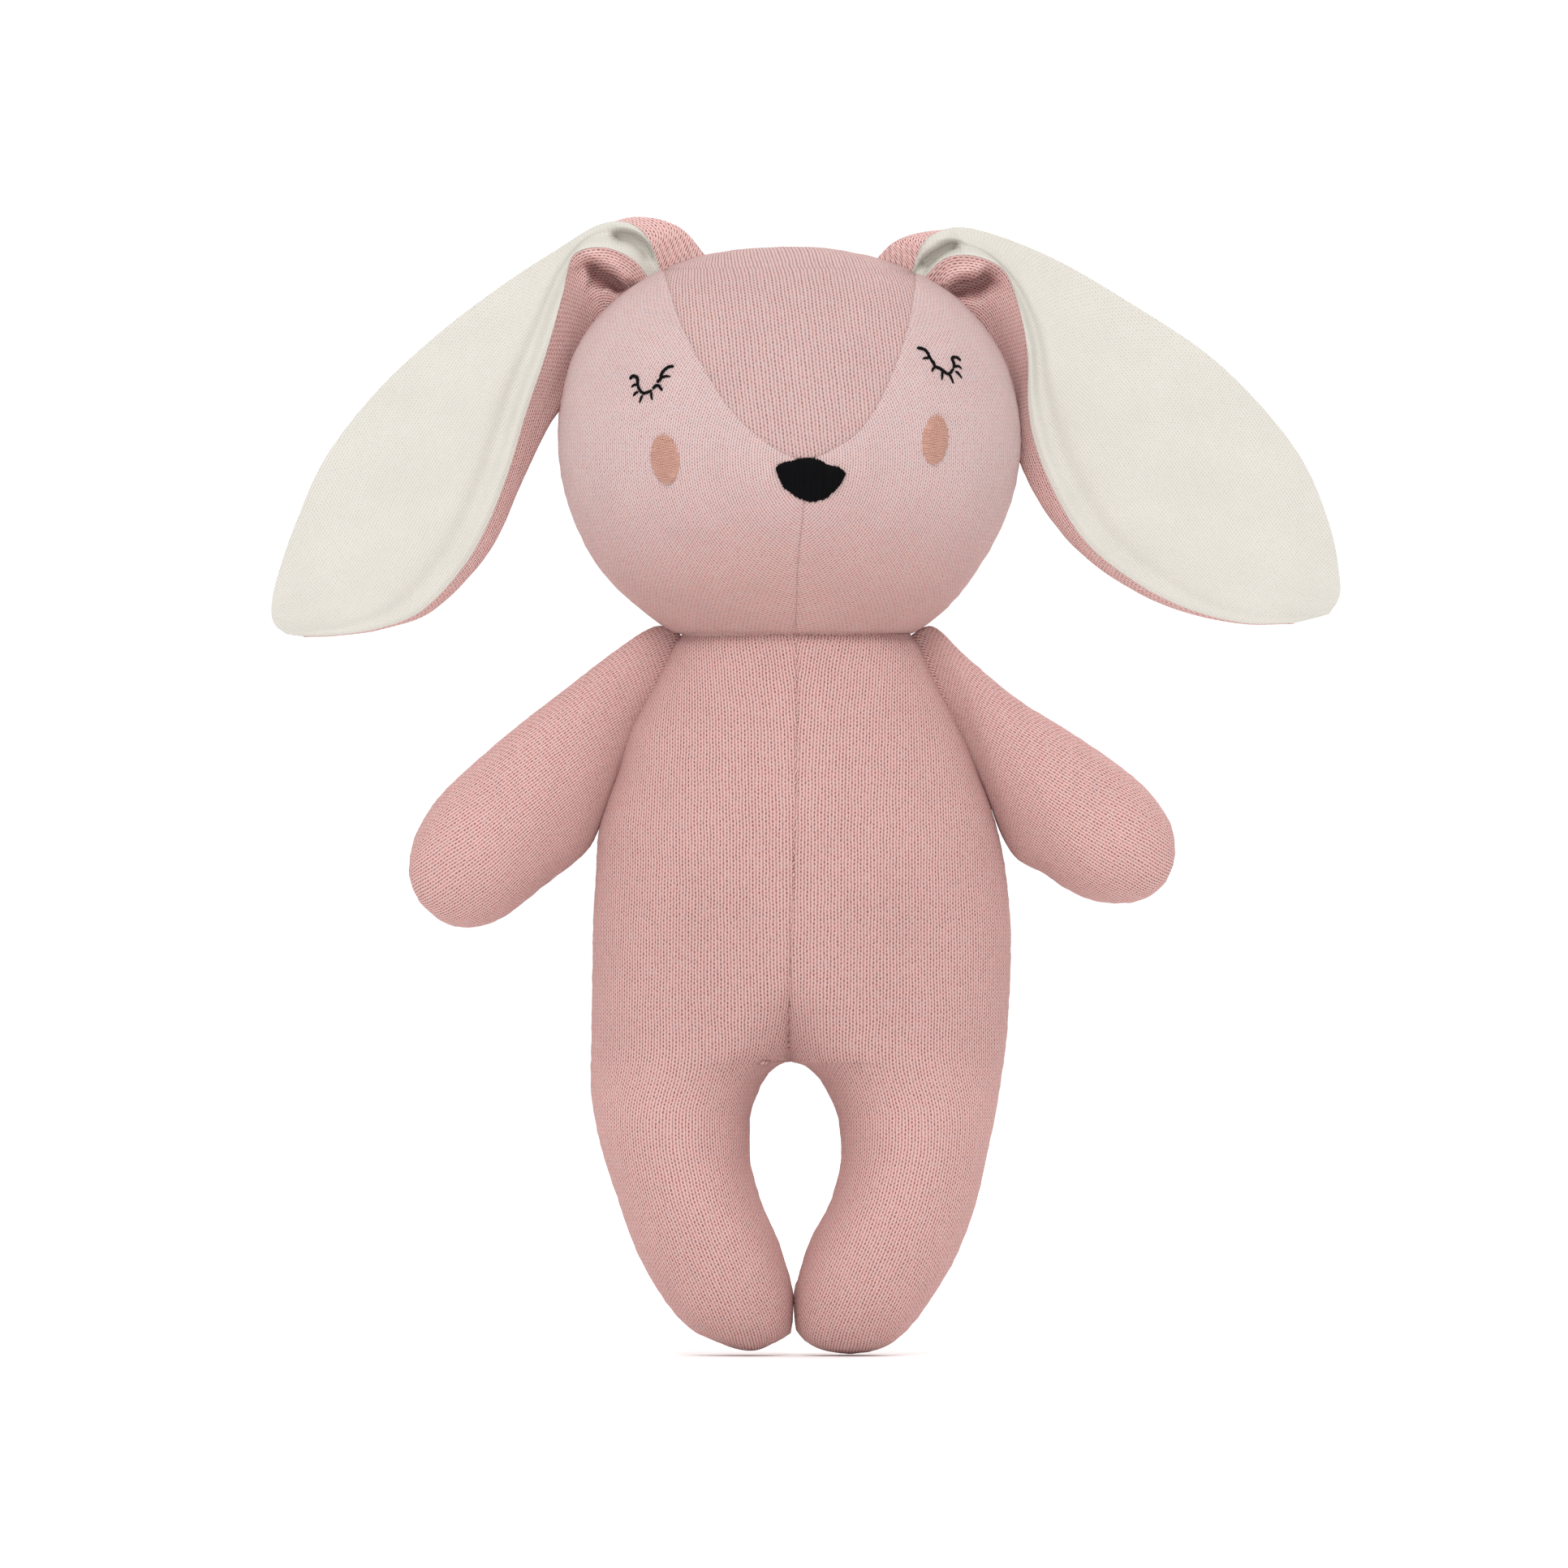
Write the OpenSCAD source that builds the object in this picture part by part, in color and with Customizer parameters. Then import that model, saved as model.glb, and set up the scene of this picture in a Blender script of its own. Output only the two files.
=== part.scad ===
// Stuffed bunny rabbit: a knitted cotton rag-doll toy with lop ears, sewn from panels
// and filled with fibre. Units mm, +Z up, the toy faces -Y, the soles touch z = 0.

/* [Fabric] */
// Thickness of the knitted shell, mm
fabric = 1.3; // [0.8:0.1:2.5]
// Thickness of one ply of an ear with its turned edge, mm
ear_ply = 2.0; // [1:0.1:3.5]
// Gap between two pieces that move on each other, mm
clearance = 0.5; // [0.3:0.1:1.5]
// Gap between a shell and the filling inside it, mm
filling_gap = 0.7; // [0.2:0.05:1]

/* [Head] */
// Half width of the head, mm
head_half_width = 72.8; // [60:0.2:85]
// Half depth of the head, mm
head_half_depth = 56; // [45:0.5:70]
// Height of the widest level of the head above the soles, mm
head_level = 285.6; // [270:0.2:300]
// Rise from the widest level to the crown, mm
head_rise = 62; // [50:0.5:75]
// Drop from the widest level to where the underside would close, mm
head_drop = 70; // [62:0.5:85]
// How far the muzzle is pushed out, mm
muzzle = 4; // [0:0.5:8]
// Height of the neck seam above the soles, mm
neck_level = 225; // [215:0.5:235]
// Height at which the forehead gusset ends in a point above the nose, mm
gusset_point = 281; // [275:0.5:290]
// Height at which the gusset seams reach the crown seam, mm
gusset_top = 341; // [336:0.5:344]

/* [Face] */
// Width of the embroidered nose, mm
nose_width = 21.7; // [15:0.1:28]
// Height of the embroidered nose, mm
nose_height = 13.5; // [8:0.1:20]
// Sideways position of the nose, mm
nose_x = 4.3; // [-8:0.1:8]
// Height of the middle of the nose above the soles, mm
nose_z = 273.8; // [265:0.1:285]
// Width of one closed-eye embroidery, mm
eye_width = 14; // [8:0.1:20]
// Number of lashes on one eye
lash_count = 5; // [3:1:8]
// Length of one lash, mm
lash_length = 3.6; // [2:0.1:6]
// Half width of one cheek patch, mm
cheek_half_width = 4; // [2:0.1:8]
// Half height of one cheek patch, mm
cheek_half_height = 7.6; // [4:0.1:12]
// How far the embroidery stands off the fabric, mm
stitch_height = 0.9; // [0.4:0.1:2]

/* [Body and legs] */
// Height of the hip joint above the soles, mm
hip_level = 86; // [80:0.5:95]
// Radius of the rounded seat of each hip, mm
hip_radius = 36; // [34:0.5:42]
// Pitch of the hand stitches down the front seam, mm
stitch_pitch = 3.6; // [2:0.1:6]

/* [Ears] */
// How deep the folded base of an ear is cupped, degrees
ear_fold = 78; // [20:1:88]
// How much the hanging part of an ear is cupped, degrees
ear_camber = 16; // [4:1:40]

/* [Facets] */
// Facets around a half section of the body
body_cols = 11; // [6:1:20]
// Facets across one panel of the head
head_cols = 12; // [6:1:20]

/* [Hidden] */
pink = [0.84, 0.68, 0.66];
cream = [0.90, 0.88, 0.85];
black = [0.08, 0.08, 0.09];
peach = [0.80, 0.61, 0.55];
white = [0.95, 0.94, 0.92];
inner_wall = 0.4;

// Stations up the body: [height, outer side, inner side, middle of the section, half depth].
// Above the crotch the inner side is a negative number and the section stops at the centre seam.
body_stations = [
  [0, 21, 10, 15.5, 6],
  [2, 24.9, 7, 16, 10],
  [7, 33.4, 0.9, 17.2, 15.5],
  [17, 42, 0.5, 21.3, 20.5],
  [32, 50.6, 3.6, 27.1, 24],
  [50, 57, 11.7, 34.3, 26],
  [66, 61.2, 14.5, 37.9, 27.2],
  [82, 64, 11, 37.5, 29.4],
  [92, 64.9, 0.4, 32.6, 31],
  [104, 65.3, -9, 22, 34],
  [128, 65.8, -26, 1, 40],
  [160, 63.2, -28, 0, 40.6],
  [190, 54.4, -28, 0, 37.5],
  [211, 43.6, -28, 0, 32.2],
  [226, 36.8, -28, 0, 28.2]
];

// Stations along an arm: [top edge x, z, bottom edge x, z, half thickness].
arm_stations = [
  [39.6, 222.8, 61.4, 174, 1.4],
  [49, 225.6, 66, 164, 4.4],
  [60.5, 216, 71, 156.5, 8.4],
  [75, 204.5, 77.5, 150, 13.5],
  [89, 194.8, 84.5, 144.5, 17.3],
  [102, 184.8, 92.5, 140, 18],
  [112, 175.4, 101, 137.6, 16.6],
  [118, 166.5, 109, 138.8, 12.6],
  [120.4, 158.5, 115.5, 144, 7.4],
  [121, 153.2, 119, 149, 2.2]
];

// Stations along an ear: [outer edge x, z, inner edge x, z].
ear_stations = [
  [30.8, 347.5, 55.4, 335.4],
  [40, 355, 61, 328.5],
  [51, 357, 67, 320],
  [71, 349, 73, 307],
  [90, 338.6, 76.5, 294],
  [112.7, 323.3, 78.5, 281],
  [130.5, 308.5, 80.5, 271],
  [145.3, 292.7, 84.5, 262],
  [155.5, 277.5, 90, 254],
  [162.5, 261, 98, 246],
  [167, 246.5, 107, 238.8],
  [166.8, 237.5, 118, 232.4],
  [163.4, 230.6, 128, 228.6],
  [157.5, 227, 138, 226.6]
];

// Gusset seam: [height, distance from the centre line].
gusset_stations = [[281, 1.6], [286.4, 13], [295, 22.2], [307, 29], [320.5, 34.8], [334, 38.6], [341, 40.4]];

// Interpolation between stations with smooth tangents.
function seg(t, x, i = 0) = i >= len(t) - 2 || x < t[i + 1][0] ? i : seg(t, x, i + 1);
function slope(t, i, c) =
  let (a = max(0, i - 1), b = min(len(t) - 1, i + 1))
  (t[b][c] - t[a][c]) / (t[b][0] - t[a][0]);
function at(t, x, c) =
  let (i = seg(t, x), h = t[i + 1][0] - t[i][0])
  let (u = min(1, max(0, (x - t[i][0]) / h)))
  (2 * u * u * u - 3 * u * u + 1) * t[i][c]
  + (u * u * u - 2 * u * u + u) * h * slope(t, i, c)
  + (3 * u * u - 2 * u * u * u) * t[i + 1][c]
  + (u * u * u - u * u) * h * slope(t, i + 1, c);

// The same between the rows of a list without positions of their own.
function row_slope(t, i, c) =
  let (a = max(0, i - 1), b = min(len(t) - 1, i + 1))
  (t[b][c] - t[a][c]) / (b - a);
function along(t, s, c) =
  let (i = min(len(t) - 2, max(0, floor(s))), u = s - i)
  (2 * u * u * u - 3 * u * u + 1) * t[i][c]
  + (u * u * u - 2 * u * u + u) * row_slope(t, i, c)
  + (3 * u * u - 2 * u * u * u) * t[i + 1][c]
  + (u * u * u - u * u) * row_slope(t, i + 1, c);
function smooth(a, b, x) = let (u = min(1, max(0, (x - a) / (b - a)))) u * u * (3 - 2 * u);

// A thin panel between an outer and an inner grid of points.
module panel(outer, inner) {
  r = len(outer);
  c = len(outer[0]);
  n = r * c;
  points = concat([for (p = outer) each p], [for (p = inner) each p]);
  sheet = [for (i = [0:r - 2]) for (j = [0:c - 2])
    each [[i * c + j, (i + 1) * c + j, i * c + j + 1],
          [i * c + j + 1, (i + 1) * c + j, (i + 1) * c + j + 1]]];
  under = [for (f = sheet) [f[0] + n, f[2] + n, f[1] + n]];
  rim = concat(
    [for (j = [0:c - 1]) j],
    [for (i = [1:r - 1]) i * c + c - 1],
    [for (j = [c - 2:-1:0]) (r - 1) * c + j],
    [for (i = [r - 2:-1:1]) i * c]
  );
  m = len(rim);
  edge = [for (k = [0:m - 1]) let (a = rim[k], b = rim[(k + 1) % m])
    each [[a, b, a + n], [b, b + n, a + n]]];
  polyhedron(points, concat(sheet, under, edge), convexity = 8);
}

// A closed body through a list of rings.
module body(rings) {
  r = len(rings);
  c = len(rings[0]);
  points = [for (p = rings) each p];
  side = [for (i = [0:r - 2]) for (j = [0:c - 1]) let (k = (j + 1) % c)
    each [[i * c + j, (i + 1) * c + j, i * c + k],
          [i * c + k, (i + 1) * c + j, (i + 1) * c + k]]];
  low = [for (j = [1:c - 2]) [0, j, j + 1]];
  top = [for (j = [1:c - 2]) let (o = (r - 1) * c) [o, o + j + 1, o + j]];
  polyhedron(points, concat(side, low, top), convexity = 8);
}

// ---- Head ----
function head_power(z) = 2 + 0.4 * smooth(head_level - 8, head_level + 32, z);
function head_share(z) =
  let (e = head_power(z), c = z > head_level ? head_rise : head_drop)
  pow(max(0, 1 - pow(abs(z - head_level) / c, e)), 1 / e);
// A point of the head at height z; the angle runs from the side seam (0) to the front (90).
function head_point(z, angle, offset) =
  let (e = head_power(z), k = head_share(z), c = z > head_level ? head_rise : head_drop)
  let (x = (head_half_width - offset) * k * pow(abs(cos(angle)), 2 / e))
  let (y = (head_half_depth - offset) * k * pow(abs(sin(angle)), 2 / e))
  let (push = muzzle * sin(angle) * exp(-(x * x + (z - 272) * (z - 272)) / 700))
  let (zz = z < neck_level + 12 ? z : head_level + (z - head_level) * (c - offset) / c)
  [x, -y - push, zz];
function gusset_angle(z, offset) =
  z >= gusset_top ? 0 :
  let (x = at(gusset_stations, z, 1) * (1 - offset / head_half_width))
  let (w = (head_half_width - offset) * head_share(z))
  acos(pow(min(1, x / w), head_power(z) / 2));
low_rows = [for (i = [0:7]) neck_level + clearance + (gusset_point - neck_level - clearance) * i / 7];
mid_rows = [for (u = [0.09, 0.22, 0.36, 0.5, 0.64, 0.77, 0.88, 0.95, 1])
  gusset_point + (gusset_top - gusset_point) * u];
cap_rows = [for (i = [1:4]) head_level + head_rise * sin(63.3 + 26 * i / 4)];
face_rows = concat(low_rows, mid_rows);
gusset_rows = concat([gusset_point], mid_rows, cap_rows);
head_rows = concat(low_rows, mid_rows, cap_rows);

function face_grid(offset) = [for (z = face_rows)
  let (from = z < gusset_point + 0.01 ? 90 : max(1, gusset_angle(z, offset)))
  [for (j = [0:head_cols]) head_point(z, from * j / head_cols, offset)]];
function gusset_grid(offset) = [for (z = gusset_rows)
  let (from = gusset_angle(z, offset))
  [for (j = [0:head_cols])
    let (a = from + (90 - from) * 2 * min(j, head_cols - j) / head_cols)
    let (p = head_point(z, a, offset))
    j * 2 < head_cols ? p : [-p[0], p[1], p[2]]]];
function back_grid(offset) = [for (z = head_rows)
  [for (j = [0:head_cols - 3])
    let (p = head_point(z, 90 * j / (head_cols - 3), offset))
    let (f = j == 0 ? 0 : 1)
    [p[0], (head_half_depth - offset) * head_share(z) * pow(sin(90 * j / (head_cols - 3)), 2 / head_power(z)) * f, p[2]]]];

module face_panel() {
  panel(face_grid(0), face_grid(fabric));
}
module head_back() {
  mirror([1, 0, 0]) panel(back_grid(0), back_grid(fabric));
}
module forehead_gusset() {
  color(pink) panel(gusset_grid(0), gusset_grid(fabric));
}
module face_panel_left() {
  color(pink) face_panel();
}
module face_panel_right() {
  color(pink) mirror([1, 0, 0]) face_panel();
}
module head_back_left() {
  color(pink) mirror([1, 0, 0]) head_back();
}
module head_back_right() {
  color(pink) head_back();
}
module head_stuffing() {
  d = fabric + filling_gap;
  n = 28;
  color(white) body([for (z = head_rows)
    [for (j = [0:n - 1])
      let (a = 360 * j / n, p = head_point(z, a, d))
      let (front = a > 180 ? 1 : 0)
      let (y = (head_half_depth - d) * head_share(z) * pow(abs(sin(a)), 2 / head_power(z)))
      let (s = cos(a) < 0 ? -1 : 1)
      [s * p[0], front == 1 ? -y - muzzle * abs(sin(a)) * exp(-(p[0] * p[0] + (z - 272) * (z - 272)) / 700) : y, p[2]]]]);
}

// The front of the head at (x, z), with something lying on it.
function face_y(x, z, offset) =
  let (e = head_power(z), c = (z > head_level ? head_rise : head_drop) + offset)
  let (u = pow(abs(x) / (head_half_width + offset), e))
  let (w = pow(abs(z - head_level) / c, e))
  let (flat = pow(max(0, 1 - u - w), 1 / e))
  -(head_half_depth + offset) * flat - muzzle * flat * exp(-(x * x + (z - 272) * (z - 272)) / 700);

// A padded patch of satin stitch; shape is a list of [x, z] offsets around its middle.
module patch(cx, cz, shape, lift) {
  n = len(shape);
  ring = function (s, h) [for (p = shape)
    let (x = cx + s * p[0], z = cz + s * p[1]) [x, face_y(x, z, h), z]];
  body([
    ring(0.5, 0.25), ring(1, 0.25), ring(1, 0.25 + lift * 0.4),
    ring(0.8, 0.25 + lift * 0.85), ring(0.4, 0.25 + lift), ring(0.05, 0.25 + lift)
  ]);
}
module nose_embroidery() {
  n = 20;
  shape = [for (i = [0:n - 1])
    let (a = -360 * i / n, s = sin(a))
    [nose_width / 2 * cos(a) * (s > 0 ? 1 : 0.98), s > 0 ? nose_height * 0.36 * s : nose_height * 0.64 * s]];
  color(black) patch(nose_x, nose_z + nose_height * 0.14, shape, stitch_height + 0.4);
}
function cheek_shape(tilt) = [for (i = [0:17])
  let (a = -20 * i, u = cheek_half_width * cos(a), v = cheek_half_height * sin(a))
  [u * cos(tilt) - v * sin(tilt), u * sin(tilt) + v * cos(tilt)]];
module cheek_embroidery_left() {
  color(peach) patch(43.1, 286.4, cheek_shape(-6), stitch_height);
}
module cheek_embroidery_right() {
  color(peach) patch(-41.2, 280.2, cheek_shape(7), stitch_height);
}

// A thread laid on the face through a list of [x, z] points.
module thread(path, radius) {
  n = len(path);
  body([for (i = [0:n - 1])
    let (a = path[max(0, i - 1)], b = path[min(n - 1, i + 1)])
    let (d = [b[0] - a[0], b[1] - a[1]], l = norm(d), t = [-d[1] / l, d[0] / l])
    [for (k = [0:5])
      let (q = -60 * k, x = path[i][0] + radius * cos(q) * t[0], z = path[i][1] + radius * cos(q) * t[1])
      [x, face_y(x, z, 0.2 + stitch_height / 2 + stitch_height / 2 * sin(q)), z]]]);
}
module eye(cx, cz, side, roll) {
  w = eye_width / 2;
  arc = [for (i = [0:10])
    let (u = -1 + i / 5)
    [cx + u * w * cos(roll) + 5.2 * (1 - u * u) * sin(roll),
     cz + 2.6 - 5.2 * (1 - u * u) + u * w * sin(roll)]];
  thread(arc, 0.75);
  for (i = [0:lash_count - 1]) {
    u = -0.9 + 1.8 * i / (lash_count - 1);
    a = -90 + 42 * u + roll;
    px = cx + u * w * cos(roll);
    pz = cz + 2.6 - 5.2 * (1 - u * u) + u * w * sin(roll);
    thread([for (l = [1.45, 1.45 + lash_length / 2, 1.45 + lash_length])
      [px + l * cos(a), pz + l * sin(a)]], 0.45);
  }
}
module eye_embroidery_left() {
  color(black) eye(44.6, 311, 1, -6);
}
module eye_embroidery_right() {
  color(black) eye(-45.6, 304.3, -1, 3);
}

// ---- Ears ----
ear_last = len(ear_stations) - 1;
ear_steps = concat([for (i = [0:2 * ear_last]) i / 2], [ear_last + 0.35]);
function ear_arc(s) =
  s < 1.2 ? 14 + (ear_fold - 14) * smooth(0, 1.2, s) :
  ear_fold + (ear_camber - ear_fold) * smooth(1.8, 6, s);
function ear_back(s) = 1 + 5 * smooth(0, 1.4, s) - 3 * smooth(2, 6, s);
function ear_point(s, v, o) =
  let (ox = along(ear_stations, s, 0), oz = along(ear_stations, s, 1))
  let (ix = along(ear_stations, s, 2), iz = along(ear_stations, s, 3))
  let (h = norm([ox - ix, oz - iz]) / 2, ux = (ox - ix) / 2 / h, uz = (oz - iz) / 2 / h)
  let (al = ear_arc(s), rho = h / sin(al), across = (rho + o) * sin(al * v))
  [(ox + ix) / 2 + across * ux, ear_back(s) - rho + (rho + o) * cos(al * v), (oz + iz) / 2 + across * uz];
function ear_grid(o) = [for (s = ear_steps) [for (j = [0:10])
  let (p = ear_point(min(s, ear_last), (1 - j / 5) * (s > ear_last ? 0.45 : 1), o))
  [p[0], p[1], p[2] - (s > ear_last ? 1.1 : 0)]]];
module ear_outer() {
  panel(ear_grid(0.15 + ear_ply), ear_grid(0.15));
}
module ear_lining() {
  panel(ear_grid(-0.15), ear_grid(-0.15 - ear_ply));
}
module ear_outer_left() {
  color(pink) ear_outer();
}
module ear_lining_left() {
  color(cream) ear_lining();
}
module ear_outer_right() {
  color(pink) mirror([1, 0, 0]) ear_outer();
}
module ear_lining_right() {
  color(cream) mirror([1, 0, 0]) ear_lining();
}

// ---- Torso and legs ----
// Front half of a section: m runs from the side seam (0) to the centre or inner seam (1).
function section(z, m, o, wall) =
  let (mid = at(body_stations, z, 3), out = at(body_stations, z, 1) - o)
  let (inn = at(body_stations, z, 2) + o, dep = at(body_stations, z, 4) - o)
  let (w = max(wall, 0) - mid, ai = mid - inn)
  let (last = w <= -ai * 0.9999 ? 179.2 : acos(w / ai), f = m * last)
  [mid + (f < 90 ? out - mid : ai) * cos(f), -dep * sin(f)];
// Height at which a line up the section meets the rounded hip seat, by halving.
function seat(m, o, wall, r, low = 88, high = 126, n = 14) =
  let (z = (low + high) / 2, y = section(z, m, o, wall)[1])
  n == 0 ? z :
  z < hip_level + sqrt(max(0, r * r - y * y)) ?
  seat(m, o, wall, r, z, high, n - 1) : seat(m, o, wall, r, low, z, n - 1);
torso_steps = [0, 0.08, 0.17, 0.27, 0.38, 0.5, 0.62, 0.73, 0.83, 0.92, 1];
leg_steps = [0, 0.01, 0.5, 1.6, 3.6, 7, 12, 19, 28, 39, 51, 63, 75, 86, 94, 100];
// A point of a leg: w is the height, and the last rows lean into the hip seat.
function leg_point(w, m, o) =
  let (top = seat(m, o, inner_wall, hip_radius - clearance))
  let (z = w + (top - 100) * smooth(10, 100, w), k = w == 0 ? 0.12 : 1)
  let (p = section(max(z, 0.01), m, o, inner_wall), mid = at(body_stations, 0, 3))
  [w == 0 ? mid + (p[0] - mid) * k : p[0], p[1] * k, z + o * (1 - smooth(0, 9, w))];
function torso_grid(o) = [for (w = torso_steps)
  [for (j = [0:body_cols])
    let (m = j / body_cols, low = seat(m, o, 0, hip_radius), z = low + (neck_level - low) * w)
    let (p = section(z, m, o, 0)) [p[0], p[1], z]]];
function leg_grid(o) = [for (w = leg_steps) [for (j = [0:body_cols]) leg_point(w, j / body_cols, o)]];

module torso_front() {
  panel(torso_grid(0), torso_grid(fabric));
}
module torso_back() {
  mirror([0, 1, 0]) torso_front();
}
module torso_front_left() {
  color(pink) torso_front();
}
module torso_front_right() {
  color(pink) mirror([1, 0, 0]) torso_front();
}
module torso_back_left() {
  color(pink) torso_back();
}
module torso_back_right() {
  color(pink) mirror([1, 0, 0]) torso_back();
}
module torso_stuffing() {
  d = fabric + filling_gap;
  half = [for (w = torso_steps)
    [for (j = [0:body_cols])
      let (m = j / body_cols, low = seat(m, d, 0, hip_radius + 0.5))
      let (z = low + (neck_level - low) * w, p = section(z, m, d, 0)) [p[0], p[1], z]]];
  ring = function (r) concat(
    [for (j = [0:body_cols]) r[j]],
    [for (j = [body_cols - 1:-1:0]) [-r[j][0], r[j][1], r[j][2]]],
    [for (j = [1:body_cols]) [-r[j][0], -r[j][1], r[j][2]]],
    [for (j = [body_cols - 1:-1:1]) [r[j][0], -r[j][1], r[j][2]]]
  );
  floor = [for (s = [0.03, 0.25, 0.5, 0.75])
    [for (p = ring(half[0]))
      let (y = p[1] * s) [p[0] * s, y, hip_level + sqrt(pow(hip_radius + 0.5, 2) - y * y)]]];
  color(white) body(concat(floor, [for (r = half) ring(r)]));
}
module front_seam_stitches() {
  color(white)
    for (z = [140:stitch_pitch:220]) {
      z2 = z + stitch_pitch * 0.62;
      body([for (k = [0:2])
        let (zz = z + (z2 - z) * k / 2, d = at(body_stations, zz, 4))
        [for (q = [0:60:300]) [0.55 * cos(q), -d - 0.75 - 0.45 * sin(q), zz]]]);
    }
}
module leg_front() {
  panel(leg_grid(0), leg_grid(fabric));
}
module leg_back() {
  mirror([0, 1, 0]) leg_front();
}
module leg_stuffing() {
  d = fabric + filling_gap;
  half = leg_grid(d);
  ring = function (r) concat(
    [for (j = [0:body_cols]) r[j]],
    [for (j = [body_cols:-1:1]) [r[j][0], -r[j][1], r[j][2]]]
  );
  last = ring(half[len(half) - 1]);
  roof = [for (s = [0.75, 0.5, 0.25, 0.03])
    [for (p = last)
      let (y = p[1] * s) [32 + (p[0] - 32) * s, y, hip_level + sqrt(pow(hip_radius - clearance, 2) - y * y)]]];
  body(concat([for (r = half) ring(r)], roof));
}
module leg_front_left() {
  color(pink) leg_front();
}
module leg_back_left() {
  color(pink) leg_back();
}
module leg_stuffing_left() {
  color(white) leg_stuffing();
}
module leg_front_right() {
  color(pink) mirror([1, 0, 0]) leg_front();
}
module leg_back_right() {
  color(pink) mirror([1, 0, 0]) leg_back();
}
module leg_stuffing_right() {
  color(white) mirror([1, 0, 0]) leg_stuffing();
}

// ---- Arms ----
arm_gap = 1.5;
arm_steps = [0, 0.5, 1, 1.5, 2, 3, 4, 5, 6, 6.6, 7.2, 7.7, 8.2, 8.6, 9];
function arm_point(s, a, o) =
  let (tx = along(arm_stations, s, 0), tz = along(arm_stations, s, 1))
  let (bx = along(arm_stations, s, 2), bz = along(arm_stations, s, 3))
  let (h = norm([tx - bx, tz - bz]) / 2, k = (h - o) / h, dep = along(arm_stations, s, 4))
  let (end = o * (1 - smooth(0, 1.5, s) - smooth(7, 9, s)))
  let (x = (tx + bx) / 2 + (tx - bx) / 2 * k * cos(a) + 0.75 * end)
  let (z = (tz + bz) / 2 + (tz - bz) / 2 * k * cos(a) - 0.6 * end)
  let (root = (1 - smooth(0, 1, s)) * (at(body_stations, z, 1) + arm_gap + 0.75 * end - x))
  [x + root, -(dep - o * min(1, dep / 8)) * sin(a), z];
function arm_grid(o) = [for (s = arm_steps) [for (j = [0:10]) arm_point(s, 18 * j, o)]];
module arm_front() {
  panel(arm_grid(0), arm_grid(fabric));
}
module arm_stuffing() {
  d = fabric + filling_gap;
  body([for (s = arm_steps) [for (j = [0:19]) arm_point(s, 18 * j, d)]]);
}
module arm_front_left() {
  color(pink) arm_front();
}
module arm_back_left() {
  color(pink) mirror([0, 1, 0]) arm_front();
}
module arm_stuffing_left() {
  color(white) arm_stuffing();
}
module arm_front_right() {
  color(pink) mirror([1, 0, 0]) arm_front();
}
module arm_back_right() {
  color(pink) mirror([1, 0, 0]) mirror([0, 1, 0]) arm_front();
}
module arm_stuffing_right() {
  color(white) mirror([1, 0, 0]) arm_stuffing();
}

forehead_gusset();
face_panel_left();
face_panel_right();
head_back_left();
head_back_right();
head_stuffing();
nose_embroidery();
eye_embroidery_left();
eye_embroidery_right();
cheek_embroidery_left();
cheek_embroidery_right();
ear_outer_left();
ear_lining_left();
ear_outer_right();
ear_lining_right();
torso_front_left();
torso_front_right();
torso_back_left();
torso_back_right();
torso_stuffing();
front_seam_stitches();
arm_front_left();
arm_back_left();
arm_stuffing_left();
arm_front_right();
arm_back_right();
arm_stuffing_right();
leg_front_left();
leg_back_left();
leg_stuffing_left();
leg_front_right();
leg_back_right();
leg_stuffing_right();
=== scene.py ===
"""Looks of a stuffed knitted bunny rabbit. Lengths in this script are millimetres until a mesh is made."""

import math

import bpy
import numpy as np
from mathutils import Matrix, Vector, noise


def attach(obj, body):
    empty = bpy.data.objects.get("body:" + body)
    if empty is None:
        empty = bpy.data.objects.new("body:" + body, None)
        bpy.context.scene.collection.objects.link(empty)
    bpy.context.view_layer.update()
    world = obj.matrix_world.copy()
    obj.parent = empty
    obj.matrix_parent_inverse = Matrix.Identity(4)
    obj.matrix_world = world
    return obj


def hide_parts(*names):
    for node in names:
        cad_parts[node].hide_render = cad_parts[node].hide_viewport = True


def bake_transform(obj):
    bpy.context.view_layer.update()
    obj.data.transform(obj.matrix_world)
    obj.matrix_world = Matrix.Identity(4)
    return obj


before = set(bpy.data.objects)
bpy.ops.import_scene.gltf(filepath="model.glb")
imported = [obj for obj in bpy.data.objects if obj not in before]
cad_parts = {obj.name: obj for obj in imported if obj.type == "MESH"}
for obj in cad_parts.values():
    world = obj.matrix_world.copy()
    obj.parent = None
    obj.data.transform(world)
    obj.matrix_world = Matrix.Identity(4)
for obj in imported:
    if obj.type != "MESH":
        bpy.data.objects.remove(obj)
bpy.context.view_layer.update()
MM = 0.001
WORD = {-1: "right", 1: "left"}  # the toy's own sides, by the sign of x

# ---------------------------------------------------------------- camera and studio
VIEW_CENTRE = (-4.1, 179.0)  # x and height of the middle of the picture
VIEW_WIDTH = 492.7
CAMERA_DISTANCE = 6000.0
SENSOR = 36.0
SKY_STRENGTH = 1.08
LIGHT_TARGET = (0, 0, 0.2)  # lights are placed in metres
# name, place, size and power
LIGHTS = (("key", (-0.25, -2.3, 2.3), 1.4, 46), ("back", (0.9, 2.4, 2.2), 1.6, 34))
FLOOR_HALF = 30.0  # metres
FLOOR_DROP = 0.0006  # metres below z = 0


def add_object(name, data):
    obj = bpy.data.objects.new(name, data)
    bpy.context.scene.collection.objects.link(obj)
    return obj


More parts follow.
